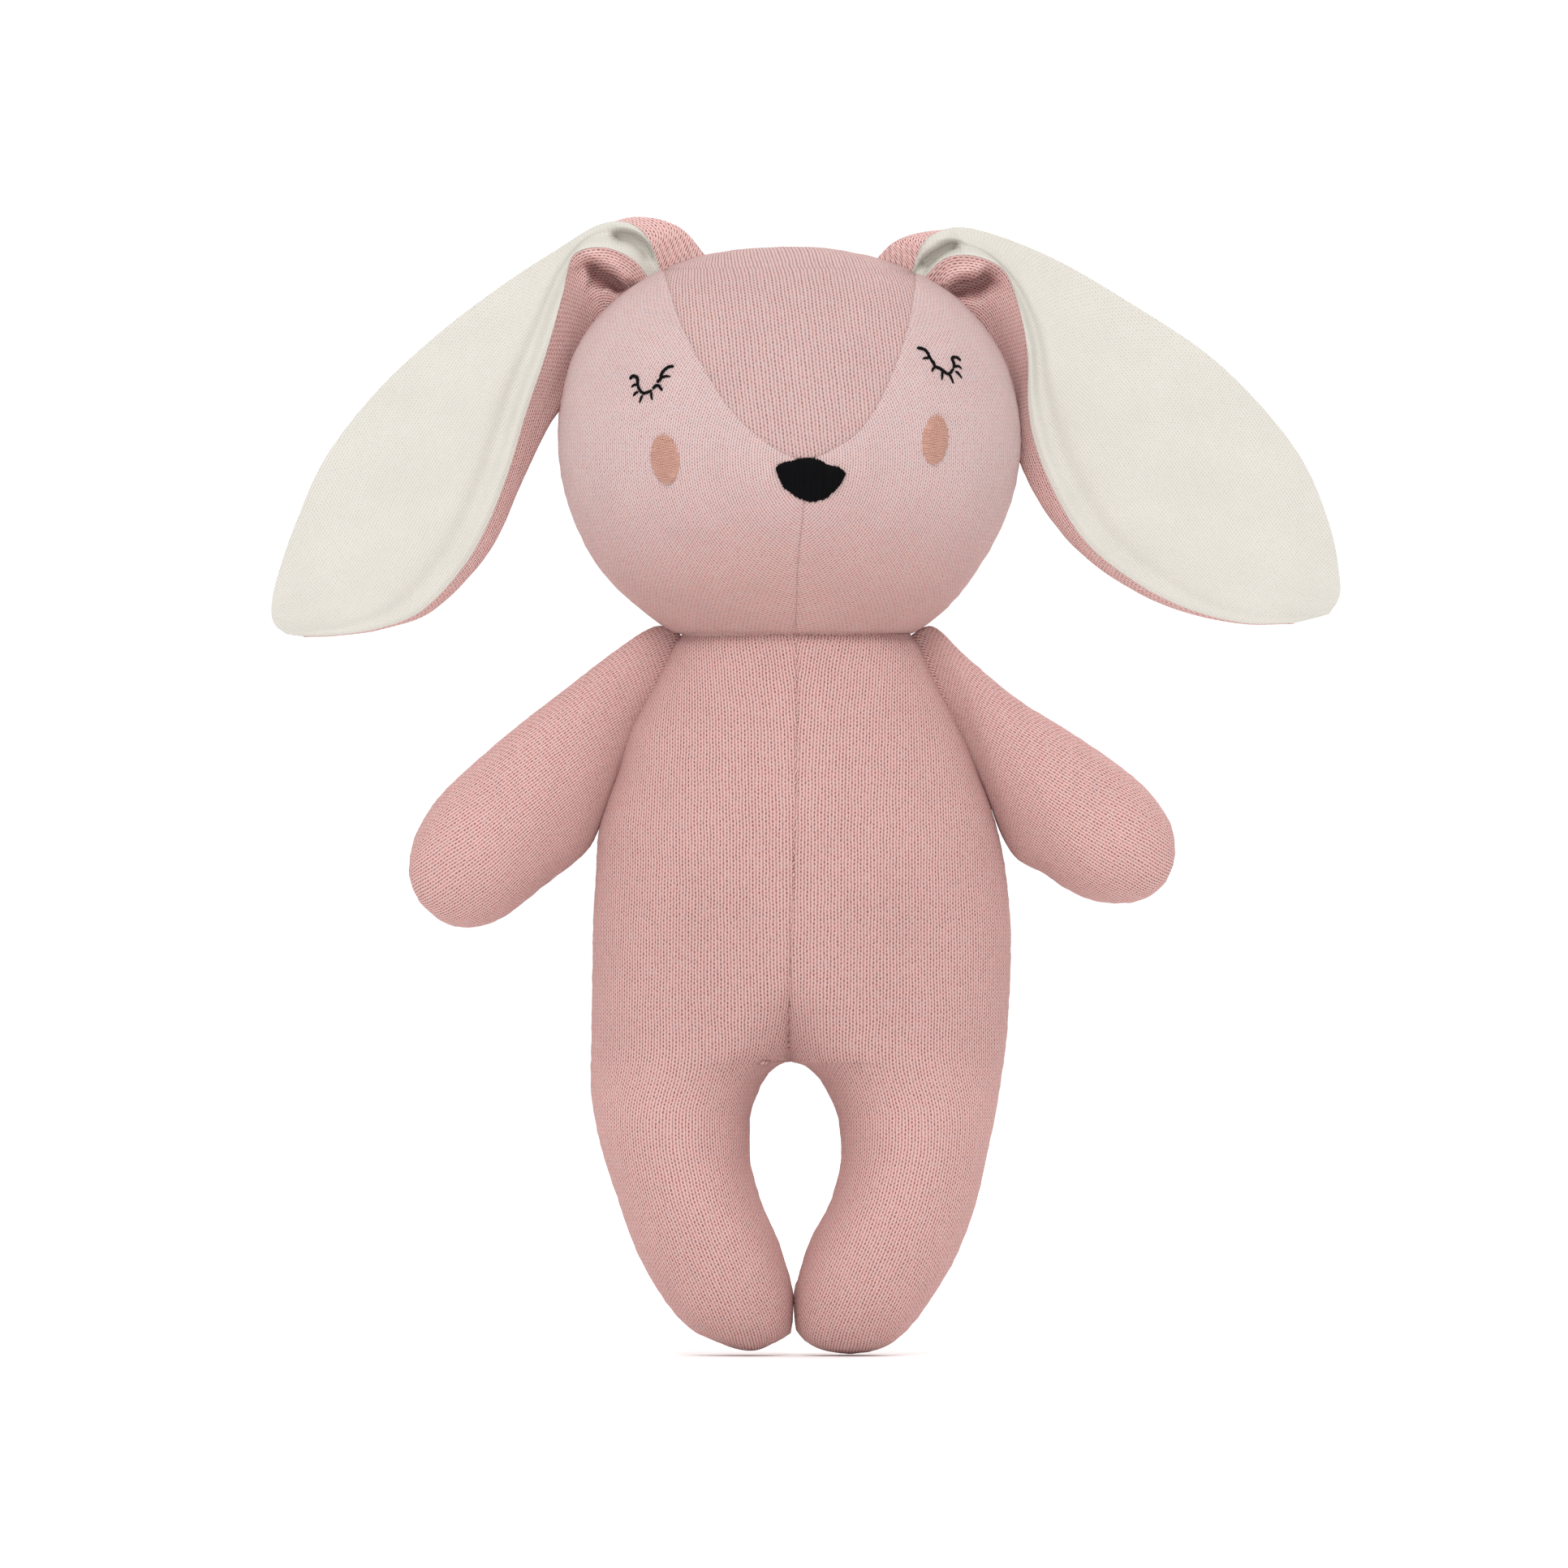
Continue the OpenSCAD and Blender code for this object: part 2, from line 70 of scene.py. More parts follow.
def make_camera():
    data = bpy.data.cameras.new("camera")
    data.sensor_width = SENSOR
    data.lens = SENSOR * CAMERA_DISTANCE / VIEW_WIDTH
    data.clip_start, data.clip_end = 0.1, 40
    camera = add_object("camera", data)
    camera.location = (VIEW_CENTRE[0] * MM, -CAMERA_DISTANCE * MM, VIEW_CENTRE[1] * MM)
    camera.rotation_euler = (math.radians(90), 0, 0)
    bpy.context.scene.camera = camera


def make_light(name, place, size, power):
    data = bpy.data.lights.new(name, "AREA")
    data.shape = "DISK"
    data.size = size
    data.energy = power
    light = add_object(name, data)
    light.location = place
    light.rotation_euler = (Vector(LIGHT_TARGET) - Vector(place)).to_track_quat("-Z", "Y").to_euler()
    light.visible_camera = False


def make_studio():
    world = bpy.data.worlds.new("studio")
    world.use_nodes = True
    background = world.node_tree.nodes["Background"]
    background.inputs["Color"].default_value = (1, 1, 1, 1)
    background.inputs["Strength"].default_value = SKY_STRENGTH
    bpy.context.scene.world = world
    for light in LIGHTS:
        make_light(*light)
    bpy.context.scene.view_settings.view_transform = "Standard"
    bpy.context.scene.view_settings.look = "None"


# ---------------------------------------------------------------- materials
FLAT_TONES = ((0.97, 0.95, 0.95), (1.03, 1.05, 1.05))
FACE_SHEEN_AND_SHADE_TINTS = ((0.92, 0.80, 0.79), (1.0, 1.06, 1.10))  # painted light: darker, pinker painted shade low on the face towards the chin, a pale painted sheen higher up
# painted shade: the body's knit is coloured darker over the belly than on the legs
BODY_SHADE_TINTS = ((0.90, 0.90, 0.90), (1.10, 1.10, 1.10))
PINK_MOTTLE = ((1.03, 0.965, 0.955), (0.97, 1.02, 1.02))
CREAM_MOTTLE = ((1.0, 0.99, 0.98), (1.0, 1.005, 1.01))


class Value:
    """One output of a shader node, so that shader sums can be written as sums."""

    def __init__(self, nodes, socket):
        self.nodes, self.socket = nodes, socket

    def __add__(self, other):
        return self.nodes.math("ADD", self, other)

    def __sub__(self, other):
        return self.nodes.math("SUBTRACT", self, other)

    def __rsub__(self, other):
        return self.nodes.math("SUBTRACT", other, self)

    def __mul__(self, other):
        return self.nodes.math("MULTIPLY", self, other)

    def __truediv__(self, other):
        return self.nodes.math("DIVIDE", self, other)

    def __abs__(self):
        return self.nodes.math("ABSOLUTE", self)

    def fit(self, scale, offset):
        return self.nodes.math("MULTIPLY_ADD", self, scale, offset)


class Nodes:
    """Short ways to add shader nodes to one material."""

    def __init__(self, name):
        self.material = bpy.data.materials.new(name)
        self.material.use_nodes = True
        self.tree = self.material.node_tree
        self.shader = self.tree.nodes["Principled BSDF"]

    def fill(self, socket, value):
        """Puts a node's output, a colour or a number into a socket."""
        if isinstance(value, Value):
            self.tree.links.new(value.socket, socket)
        else:
            socket.default_value = (*value, 1) if isinstance(value, tuple) else value

    def add(self, kind, output, inputs=(), **settings):
        node = self.tree.nodes.new("ShaderNode" + kind)
        for key, value in settings.items():
            setattr(node, key, value)
        for key, value in dict(inputs).items():
            self.fill(node.inputs[key], value)
        return Value(self, node.outputs[output])

    def shade(self, inputs):
        for key, value in inputs.items():
            self.fill(self.shader.inputs[key], value)
        return self.material

    def math(self, operation, *values):
        return self.add("Math", 0, enumerate(values), operation=operation)

    def smooth(self, value, low, high, out_low=0.0, out_high=1.0):
        inputs = {"Value": value, "From Min": low, "From Max": high, "To Min": out_low, "To Max": out_high}
        return self.add("MapRange", "Result", inputs, interpolation_type="SMOOTHSTEP")

    def fabric(self):
        """The fabric coordinates across and along the wales, in millimetres, and the painted light: sheen
        and shade painted into the colour.
        """
        read = self.add("Attribute", "Vector", attribute_name="fabric")
        split = self.add("SeparateXYZ", 0, {0: read}).socket.node
        across, along, painted_light = [Value(self, socket) for socket in split.outputs]
        return self.combine(across, along), across, along, painted_light

    def noise(self, vector, scale, detail, rough=0.5):
        inputs = {"Scale": scale, "Detail": detail, "Roughness": rough, "Vector": vector}
        return self.add("TexNoise", "Fac", inputs)

    def combine(self, x, y):
        return self.add("CombineXYZ", 0, {0: x, 1: y})

    def mix(self, factor, low, high):
        return self.add("Mix", "Result", {"Factor": factor, "A": low, "B": high}, data_type="RGBA")

    def multiply(self, a, b):
        return self.add("VectorMath", 0, {0: a, 1: b}, operation="MULTIPLY")

    def scale(self, vector, factor):
        return self.add("VectorMath", 0, {0: vector, "Scale": factor}, operation="SCALE")

    def bump(self, height, distance):
        return self.add("Bump", "Normal", {"Distance": distance, "Strength": 0.7, "Height": height})


def linear(red, green, blue):
    """A colour given as 8-bit sRGB, as the shader wants it."""
    parts = [c / 255 for c in (red, green, blue)]
    return tuple(c / 12.92 if c <= 0.04045 else ((c + 0.055) / 1.055) ** 2.4 for c in parts)


def stitch_gaps(n, vector, across, along, wale, course, ribs):
    """How far a point lies down between the threads, from 0 to 1.

    Pairs of slanting legs stand in columns, with small dots where the legs part; knit paints the dots and
    gaps darker, as shade in these hollows."""
    sway = n.noise(vector, 0.11, 2).fit(0.9, -0.45) + n.noise(vector, 0.8, 1).fit(0.36, -0.18)
    u = (across + sway) / (wale / 2)  # counts legs, two to a column
    rise = along / course + n.noise(vector, 0.55, 1) * 0.45  # counts rows
    leg, row = n.math("FLOOR", u), n.math("FLOOR", rise)
    from_leg, from_row = u - leg - 0.5, rise - row - 0.5
    lean = n.math("PINGPONG", leg, 1.0).fit(-2.0, 1.0)
    column = n.math("ROUND", u)
    odd = n.math("PINGPONG", column, 1.0)
    stagger = rise + odd * 0.5
    dot_row = n.math("ROUND", stagger)
    random = n.add("TexWhiteNoise", "Value", {"Vector": n.combine(column, dot_row)}, noise_dimensions="2D")
    du, dv = (u - column) / 0.29, (stagger - dot_row) / 0.38
    dot = n.smooth(n.math("SQRT", du * du + dv * dv), 0.1, 1.25, 1.0, 0.0) * random.fit(0.5, 0.32)
    beside = n.smooth(abs(from_leg - lean * from_row * 0.30), 0.14, 0.58, 0.0, 0.55)
    gap = beside * n.smooth(abs(from_row), 0.30, 0.5, 1.0, 0.0)
    tuck = n.smooth(abs(from_row), 0.25, 0.5, 0.0, 0.03)
    rib = n.smooth(abs(from_leg), 0.28, 0.5) * (odd * ribs)
    return n.math("MINIMUM", gap + dot + tuck + rib, 1.0)


def knit(name, light, dark, wale, course, depth, ribs, sheen, tones=FLAT_TONES, mottle=PINK_MOTTLE):
    """Stockinette.

    wale is the width of one column of stitches and course the height of one, ribs how much deeper
    every second gap is, tones the tints at the lowest and highest painted light, mottle those of uneven dye."""
    n = Nodes(name)
    vector, across, along, painted_light = n.fabric()
    low = stitch_gaps(n, vector, across, along, wale, course, ribs)
    fibre = n.noise(n.combine(across * 3.0, along * 1.4), 2.2, 3, 0.65)
    cloud, fuzz = n.noise(vector, 0.05, 3), n.noise(vector, 4.5, 4, 0.7)
    shade = fibre.fit(0.30, 0.70) + cloud.fit(0.12, -0.06) + fuzz * 0.30
    tint = n.mix(n.smooth(painted_light, -1.0, 1.0), *tones)
    patch = n.mix(n.smooth(n.noise(vector, 0.35, 3, 0.6), 0.3, 0.7), *mottle)
    # painted shade: the colour runs from light to dark as the knit sinks into the gaps between threads; tint
    # adds the painted sheen and shade of the face and body
    cloth = n.multiply(n.multiply(n.mix(low, light, dark), tint), patch)
    return n.shade({
        "Base Color": n.scale(cloth, shade), "Normal": n.bump(fibre * 0.3 - low, depth * MM),
        "Roughness": 0.95, "Specular IOR Level": 0.12,
        "Sheen Weight": sheen, "Sheen Roughness": 0.5, "Sheen Tint": light})


def thread_material(name, colour, dark, rough, sheen, shine=0.3, grooves=0.0):
    """Twisted embroidery thread: fine ridges that run slantwise round it.

    grooves darkens the line between two threads of satin stitch, 0.5 apart in fabric coordinates, as painted
    shade in that groove."""
    n = Nodes(name)
    _, across, along, _ = n.fabric()
    twist = n.math("SINE", across * 9.0 + along * 9.0)
    fibre = n.noise(n.combine(across * 5.0, along), 3.0, 3, 0.7)
    between = 1.0 - abs(n.math("SINE", across * (2 * math.pi)))
    patch = n.noise(n.combine(across * 4.0, along * 0.5), 1.0, 2)
    ridge = twist.fit(0.25, 0.5) + fibre.fit(0.6, -0.3) - between * grooves * n.smooth(patch, 0.3, 0.7)
    # painted shade: the colour goes to dark in the troughs of the twist and in the grooves between threads
    return n.shade({
        "Base Color": n.mix(ridge, dark, colour), "Normal": n.bump(ridge, 0.12 * MM), "Roughness": rough,
        "Specular IOR Level": shine, "Sheen Weight": sheen})


def make_materials():
    """Colours of the yarn and the darker colours painted into the gaps and troughs as shade, then the
    numbers that knit and thread_material name.
    """
    torso_gap_shade, ear_gap_shade = linear(118, 74, 72), linear(122, 74, 72)
    return {
        "torso": knit("pink_knit", linear(200, 161, 157), torso_gap_shade, 2.09, 1.24, 0.30, 0.0, 0.15, BODY_SHADE_TINTS),
        "face": knit("pink_knit_face", linear(191, 165, 161), linear(146, 107, 103),
                     1.9, 1.12, 0.20, 0.0, 0.2, FACE_SHEEN_AND_SHADE_TINTS),
        "forehead": knit("pink_knit_ribs", linear(187, 159, 156), linear(136, 100, 98),
                         2.3, 1.3, 0.26, 0.22, 0.15),
        "ear_back": knit("pink_knit_ear", linear(210, 174, 170), ear_gap_shade, 1.95, 1.2, 0.30, 0.0, 0.15),
        "cream": knit("cream_jersey", linear(194, 191, 184), linear(176, 171, 160),
                      1.7, 0.95, 0.08, 0.0, 0.15, mottle=CREAM_MOTTLE),
        "black": thread_material("black_thread", linear(17, 16, 18), linear(3, 3, 4), 0.8, 0.0, 0.06),
        "peach": thread_material("peach_thread", linear(213, 172, 157), linear(150, 104, 90),
                                 0.7, 0.1, 0.3, 0.7),
        "seam": thread_material("seam_thread", linear(218, 186, 180), linear(186, 140, 135), 0.7, 0.1),
    }


def make_floor():
    n = Nodes("studio_floor")
    cloud = n.noise(n.add("TexCoord", "Object"), 3.0, 2)
    n.shade({"Base Color": n.mix(cloud, (0.93, 0.93, 0.93), (0.96, 0.96, 0.96)), "Roughness": 0.9,
             "Specular IOR Level": 0.1})
    mesh = bpy.data.meshes.new("floor")
    corners = [(x * FLOOR_HALF, y * FLOOR_HALF, 0) for x, y in ((-1, -1), (1, -1), (1, 1), (-1, 1))]
    mesh.from_pydata(corners, [], [(0, 1, 2, 3)])
    mesh.materials.append(n.material)
    floor = add_object("floor", mesh)
    floor.location.z = -FLOOR_DROP


# ---------------------------------------------------------------- curves
def smooth(low, high, value):
    t = np.clip((value - low) / (high - low), 0, 1)
    return t * t * (3 - 2 * t)


def hermite(places, values, x, steady=False):
    """Smooth interpolation of values (rows) at rising places. With steady it never overshoots."""
    places, values = np.asarray(places, float), np.asarray(values, float)
    slopes = np.gradient(values, places, axis=0)
    if steady:
        steps = np.diff(values, axis=0) / np.diff(places).reshape(-1, *[1] * (values.ndim - 1))
        product = steps[1:] * steps[:-1]
        total = np.where(np.abs(steps[1:] + steps[:-1]) < 1e-9, 1, steps[1:] + steps[:-1])
        slopes[1:-1] = np.where(product > 0, 2 * product / total, 0)
    x = np.clip(np.asarray(x, float), places[0], places[-1])
    i = np.clip(np.searchsorted(places, x) - 1, 0, len(places) - 2)
    h = places[i + 1] - places[i]
    t = (x - places[i]) / h
    if values.ndim == 2:
        h, t = h[..., None], t[..., None]
    return ((2 * t**3 - 3 * t**2 + 1) * values[i] + (t**3 - 2 * t**2 + t) * h * slopes[i]
            + (3 * t**2 - 2 * t**3) * values[i + 1] + (t**3 - t**2) * h * slopes[i + 1])


def follow(rows, x):
    """The second column of rows as a smooth function of the first, at x."""
    return hermite(*np.array(rows).T, x)


def lengths(line):
    """Distance of each point of a line from its first point."""
    return np.concatenate([[0], np.cumsum(np.linalg.norm(np.diff(line, axis=0), axis=1))])


def each_row(line, count):
    """The distances along a line, as count equal columns."""
    return np.repeat(lengths(line)[:, None], count, axis=1)


def through(points, count):
    """A smooth line of count points through the given ones."""
    points = np.asarray(points, float)
    s = lengths(points)
    s = s + np.arange(len(s)) * 1e-6
    return hermite(s, points, np.linspace(0, s[-1], count))


EDGE_STEPS = np.array([0, 0.3, 0.7, 1.2, 1.8, 2.7, 4.0])  # first distances from a seam
EDGE_ROOM = 20.0  # a line shorter than this has its first distances shrunk
PUCKER = 0.14  # height of the small waves beside a seam


def resample(line, count):
    """The line as count points that crowd at both ends, and their distances along it."""
    s = lengths(line)
    near = EDGE_STEPS * min(1, s[-1] / EDGE_ROOM)
    middle = np.linspace(near[-1], s[-1] - near[-1], count - 2 * len(near) + 2)
    d = np.concatenate([near[:-1], middle, (s[-1] - near[:-1])[::-1]])
    return np.stack([np.interp(d, s, line[:, k]) for k in range(3)], axis=1), d


def lay_rows(lines, count):
    """The lines as rows of count points each, and the distances along them."""
    rows = [resample(line, count) for line in lines]
    return [points for points, _ in rows], [d for _, d in rows]


# ---------------------------------------------------------------- meshes
def near_line(points, line):
    """Distance of each point from a line, and how far along the line it lies."""
    best, place, run = np.full(len(points), 1e9), np.zeros(len(points)), 0.0
    for a, b in zip(line[:-1], line[1:]):
        ab = b - a
        length = np.linalg.norm(ab)
        if length < 1e-4:
            continue
        t = np.clip(((points - a) @ ab) / length**2, 0, 1)
        d = np.linalg.norm(points - a - t[:, None] * ab, axis=1)
        place = np.where(d < best, run + t * length, place)
        best = np.minimum(best, d)
        run += length
    return best, place


SAME_POINT = 0.002  # points that round to the same multiple of this become one
IN_PLANE = np.array([1, 0, 1])  # drops the depth of a point


class Shape:
    """Grids of points with fabric coordinates, made into one mesh object."""

    def __init__(self):
        self.points, self.fabric, self.faces, self.count = [], [], [], 0

    def grid(self, points, across, along, closed=False):
        rows, cols = points.shape[:2]
        index = self.count + np.arange(rows * cols).reshape(rows, cols)
        if closed:
            index = np.concatenate([index, index[:, :1]], axis=1)
        quads = np.stack([index[:-1, :-1], index[1:, :-1], index[1:, 1:], index[:-1, 1:]], axis=-1)
        self.points.append(points.reshape(-1, 3))
        self.fabric.append(np.stack([across, along], axis=-1).reshape(-1, 2))
        self.faces.append(quads.reshape(-1, 4))
        self.count += rows * cols
        return self

    def build(self, name, material, outward, painted_light=None):
        """outward(points) gives rough outward directions, painted_light(points) painted sheen and shade from
        -1 to 1.
        """
        points = np.concatenate(self.points)
        fabric = np.concatenate(self.fabric)
        cells = np.round(points / SAME_POINT).astype(int)
        _, first, back = np.unique(cells, axis=0, return_index=True, return_inverse=True)
        order = np.argsort(first)
        rank = np.empty(len(order), int)
        rank[order] = np.arange(len(order))
        back, first = rank[back.ravel()], first[order]
        points, fabric = points[first], fabric[first]
        faces = []
        for quad in back[np.concatenate(self.faces)].tolist():
            face = [v for k, v in enumerate(quad) if v != quad[k - 1]]
            if len(set(face)) >= 3 and len(set(face)) == len(face):
                faces.append(face)
        mesh = bpy.data.meshes.new(name)
        mesh.from_pydata((points * MM).tolist(), [], faces)
        mesh.update()
        if (read(mesh, "normal") * outward(points)).sum() < 0:
            mesh.flip_normals()
            mesh.update()
        attribute = mesh.attributes.new("fabric", "FLOAT_VECTOR", "POINT")
        tones = painted_light(points) if painted_light else np.zeros(len(points))
        fabric = np.column_stack([fabric, tones])
        attribute.data.foreach_set("vector", fabric.astype(np.float32).ravel())
        mesh.materials.append(material)
        mesh.shade_smooth()
        return add_object(name, mesh)


def read(mesh, what):
    """What every vertex has as "co" or "normal", in rows."""
    values = np.zeros(len(mesh.vertices) * 3, np.float32)
    mesh.vertices.foreach_get(what, values)
    return values.reshape(-1, 3).astype(float)


def push(obj, amount, seams=(), inward=None):
    """Moves each vertex along its normal by amount millimetres.

    The vertices on seams go to inward(point) instead, so that the panels that share a seam still meet."""
    points, normals = read(obj.data, "co") / MM, read(obj.data, "normal")
    moved = points + normals * amount[:, None]
    if len(seams):
        line = np.concatenate(seams)
        keys = {tuple(k) for k in np.round(line * 50).astype(int).tolist()}
        on = np.array([tuple(k) in keys for k in np.round(points * 50).astype(int).tolist()])
        moved[on] = inward(points[on])
    obj.data.vertices.foreach_set("co", (moved * MM).astype(np.float32).ravel())
    obj.data.update()


def dents(points, seams, lumps, seed, calm=()):
    """Grooves and puckers along seams (line, depth, half width) and soft unevenness of the filling.

    The unevenness dies away at the seams, and round each calm point (x, y, z, radius)."""
    amount, pucker, free = np.zeros(len(points)), np.zeros(len(points)), np.ones(len(points))
    for k, (line, depth, width) in enumerate(seams):
        d, s = near_line(points, np.asarray(line, float))
        amount = np.minimum(amount, -depth * np.exp(-(d / width) ** 1.4))
        beat = np.sin(s * 1.05 + 1.7 * np.sin(s * 0.23 + seed + k))
        beat = beat * (0.6 + 0.4 * np.sin(s * 0.31 + 2 * k + seed))
        pucker += PUCKER * beat * np.exp(-((d - 2.2) / 2.0) ** 2) * min(1, depth / 0.4)
        free = np.minimum(free, smooth(0, 5, d))
    for x, y, z, radius in calm:
        free = free * (1 - np.exp(-((points - (x, y, z)) ** 2).sum(axis=1) / radius**2))
    shift = Vector((seed * 17.3, seed * 5.1, 0))
    wave = [noise.noise(Vector(p) / 26 + shift) + 0.45 * noise.noise(Vector(p) / 10 + shift) for p in points]
    return amount + pucker + lumps * free * np.array(wave)


def sew(name, material, outward, cloth, seams, lumps, seed, edges=(), inward=None, painted_light=None, calm=()):
    """A panel from its grid of points and fabric coordinates, with sunk seams and uneven filling.

    Its edges go to inward(point)."""
    obj = Shape().grid(*cloth).build(name, material, outward, painted_light)
    push(obj, dents(read(obj.data, "co") / MM, seams, lumps, seed, calm), edges, inward)
    return obj


def away_from(point):
    return lambda points: points - np.asarray(point, float)


# ---------------------------------------------------------------- head
HEAD_LEVEL = 287.0  # height of the widest section
HEAD_RISE = 60.7
HEAD_DROP = {-1: 72.5, 1: 71.0}
HEAD_HALF_WIDTH = 72.8
HEAD_HALF_DEPTH = 56.0
HEAD_SHIFT = -2.4  # x of the middle of the head
# powers of the rounded outlines: the front view above and below, and the level sections
HEAD_TOP_POWER = {-1: 2.33, 1: 2.2}
HEAD_SECTION_POWER = 2.1
HEAD_LOW_POWER = 1.95
MUZZLE = 4.0  # how far the muzzle stands out
MUZZLE_LEVEL = 271.0
NECK = 225.2
GUSSET_POINT = 279.2  # height of the lowest point of the forehead panel
GUSSET_TOP = {-1: 341.2, 1: 340.2}
# height and x of the forehead panel's edges
GUSSET = {
    -1: [[279.2, 3], [281.8, -3.8], [286.1, -10.7], [296.1, -21.2], [307.8, -28.6], [319.3, -34.9],
         [331, -39.3], [341.2, -42.4]],
    1: [[279.2, 3], [281.8, 8.4], [286.6, 16.8], [294, 23.2], [306.5, 29.6], [321.6, 34.7],
        [332, 36.8], [340.2, 37.6]],
}


HEAD_COLUMNS, GUSSET_COLUMNS, BODY_COLUMNS, ARM_COLUMNS = 44, 64, 46, 40  # points across each kind of panel
LINING_COLUMNS, EAR_BACK_COLUMNS = 50, 84


def head_share(side, z):
    """Width of the head at height z as a share of its widest."""
    up = z > HEAD_LEVEL
    top = smooth(HEAD_LEVEL - 8, HEAD_LEVEL + 25, z)
    power = HEAD_LOW_POWER + (HEAD_TOP_POWER[side] - HEAD_LOW_POWER) * top
    reach = np.where(up, HEAD_RISE, HEAD_DROP[side])
    return np.maximum(0, 1 - (np.abs(z - HEAD_LEVEL) / reach) ** power) ** (1 / power)


def head_depth_share(z):
    """Depth of the head at height z as a share of its deepest, the same on both sides."""
    return 0.5 * (head_share(-1, z) + head_share(1, z))


def head_middle(z):
    return HEAD_SHIFT * smooth(NECK, 250, z)


def muzzle_push(x, z):
    return MUZZLE * np.exp(-((x - 3) ** 2 / 900 + (z - MUZZLE_LEVEL) ** 2 / 520))


def rounded(cosine):
    """How far out a point of the head's section lies, as a share of its half width."""
    return np.sign(cosine) * np.abs(cosine) ** (2 / HEAD_SECTION_POWER)


def head_section(z, x, sine, back=False):
    """Points of the head's section at height z, from each one's x and the sine of its angle."""
    y = HEAD_HALF_DEPTH * float(head_depth_share(z)) * sine ** (2 / HEAD_SECTION_POWER)
    if not back:
        y = -y - muzzle_push(x, z) * sine**1.5
    return np.stack([x, y, np.full(len(x), z)], axis=1)


def head_arc(side, z, end, back=False):
    """Part of the head's section at height z, from its side to the angle end in degrees."""
    a = np.radians(np.linspace(0, end, 160))
    x = head_middle(z) + side * HEAD_HALF_WIDTH * float(head_share(side, z)) * rounded(np.cos(a))
    return head_section(z, x, np.sin(a), back)


def across_front(z, start, end):
    """The front of the head's section at height z, between two angles counted from the left side."""
    a = np.radians(np.linspace(start, end, 320))
    c = np.cos(a)
    width = HEAD_HALF_WIDTH * np.where(c < 0, head_share(-1, z), head_share(1, z))
    return head_section(z, head_middle(z) + width * rounded(c), np.maximum(np.sin(a), 0))


def face_y(x, z):
    """Front of the head at x, z."""
    x, z = np.asarray(x, float), np.asarray(z, float)
    side_share = np.where(x < head_middle(z), head_share(-1, z), head_share(1, z))
    u = np.clip(np.abs(x - head_middle(z)) / (HEAD_HALF_WIDTH * side_share), 0, 1)
    s = (1 - u**HEAD_SECTION_POWER) ** (1 / HEAD_SECTION_POWER)
    return -HEAD_HALF_DEPTH * head_depth_share(z) * s - muzzle_push(x, z) * s ** (0.75 * HEAD_SECTION_POWER)


def panel_end(side, z):
    """The angle, from the side, where a face panel ends: at the chin seam, and higher up at the gusset."""
    if z >= GUSSET_TOP[side]:
        return 0.0
    x = 3.0 * smooth(240, GUSSET_POINT, z) - 0.5 * smooth(240, NECK, z)
    if z >= GUSSET_POINT:
        x = follow(GUSSET[side], z)
    share = np.clip(side * (x - head_middle(z)) / (HEAD_HALF_WIDTH * head_share(side, z)), -1, 1)
    return float(np.degrees(np.arccos(np.sign(share) * np.abs(share) ** (HEAD_SECTION_POWER / 2))))


def head_levels(low, high, crowd_low, crowd_high, step):
    """Heights of the rows of a head panel, crowded at one end or both."""
    start = low + (EDGE_STEPS if crowd_low else EDGE_STEPS[:1])
    end = high - (EDGE_STEPS if crowd_high else EDGE_STEPS[:1])[::-1]
    between = np.linspace(start[-1], end[0], max(3, int((end[0] - start[-1]) / step)))
    return np.concatenate([start[:-1], between, end[1:]])


def cap_levels(low, side=-1):
    """Heights over the crown, evenly spaced round the curve."""
    power = HEAD_TOP_POWER[side]
    start = math.degrees(math.asin(((low - HEAD_LEVEL) / HEAD_RISE) ** (power / 2)))
    a = np.radians(np.linspace(start, 90, 26))[1:]
    return HEAD_LEVEL + HEAD_RISE * np.sin(a) ** (2 / power)


HEAD_CENTRE = (0, 0, 280)  # the panels of the head face away from here
# places with embroidery, where the filling is even: x, y, z, radius
CALM = ((4, -60, 274, 16), (-46, -42, 303, 11), (45, -42, 309, 11), (-41, -48, 280, 11), (43, -47, 286, 11))
# the wales of a face panel run in rings round this point: x beyond the middle, height
RING_CENTRE = (19.0, 280.0)


def face_fabric(points, side):
    """Rings round a point above the far side of the nose."""
    x, z = side * points[..., 0] + RING_CENTRE[0], points[..., 2] - RING_CENTRE[1]
    flat = np.hypot(x, z)
    radius = flat + 0.6 * (points[..., 1] - face_y(0, 280.0))
    angle = np.arctan2(z, x)
    return radius, angle * 55 * (np.maximum(flat, 4) / 55) ** 0.7


# scale and depth of the seam allowance at the neck
TUCK = ((0.965, 1.1), (0.90, 2.0), (0.75, 2.6), (0.5, 2.8))


def tuck_in(line, down):
    """The rows that carry a panel's edge at the neck inside, as its seam allowance."""
    return [line * np.array([scale, scale, 1]) + np.array([0, 0, down * deep]) for scale, deep in TUCK]


def head_inward(points):
    """Where the seams of the head lie: sunk into it by half a millimetre."""
    out = points - np.array([-2.0, 0, 285.0])
    return points - 0.5 * out / np.linalg.norm(out, axis=1, keepdims=True)


def head_painted_sheen_and_shade(points):
    """Painted sheen as a pale bloom on the upper face and at its sides, painted shade darker and pinker
    towards the chin.
    """
    z = points[:, 2]
    aside = smooth(15, 60, np.abs(points[:, 0]))
    return 0.9 * smooth(255, 300, z) - 0.75 * smooth(268, 232, z) + 0.25 * aside


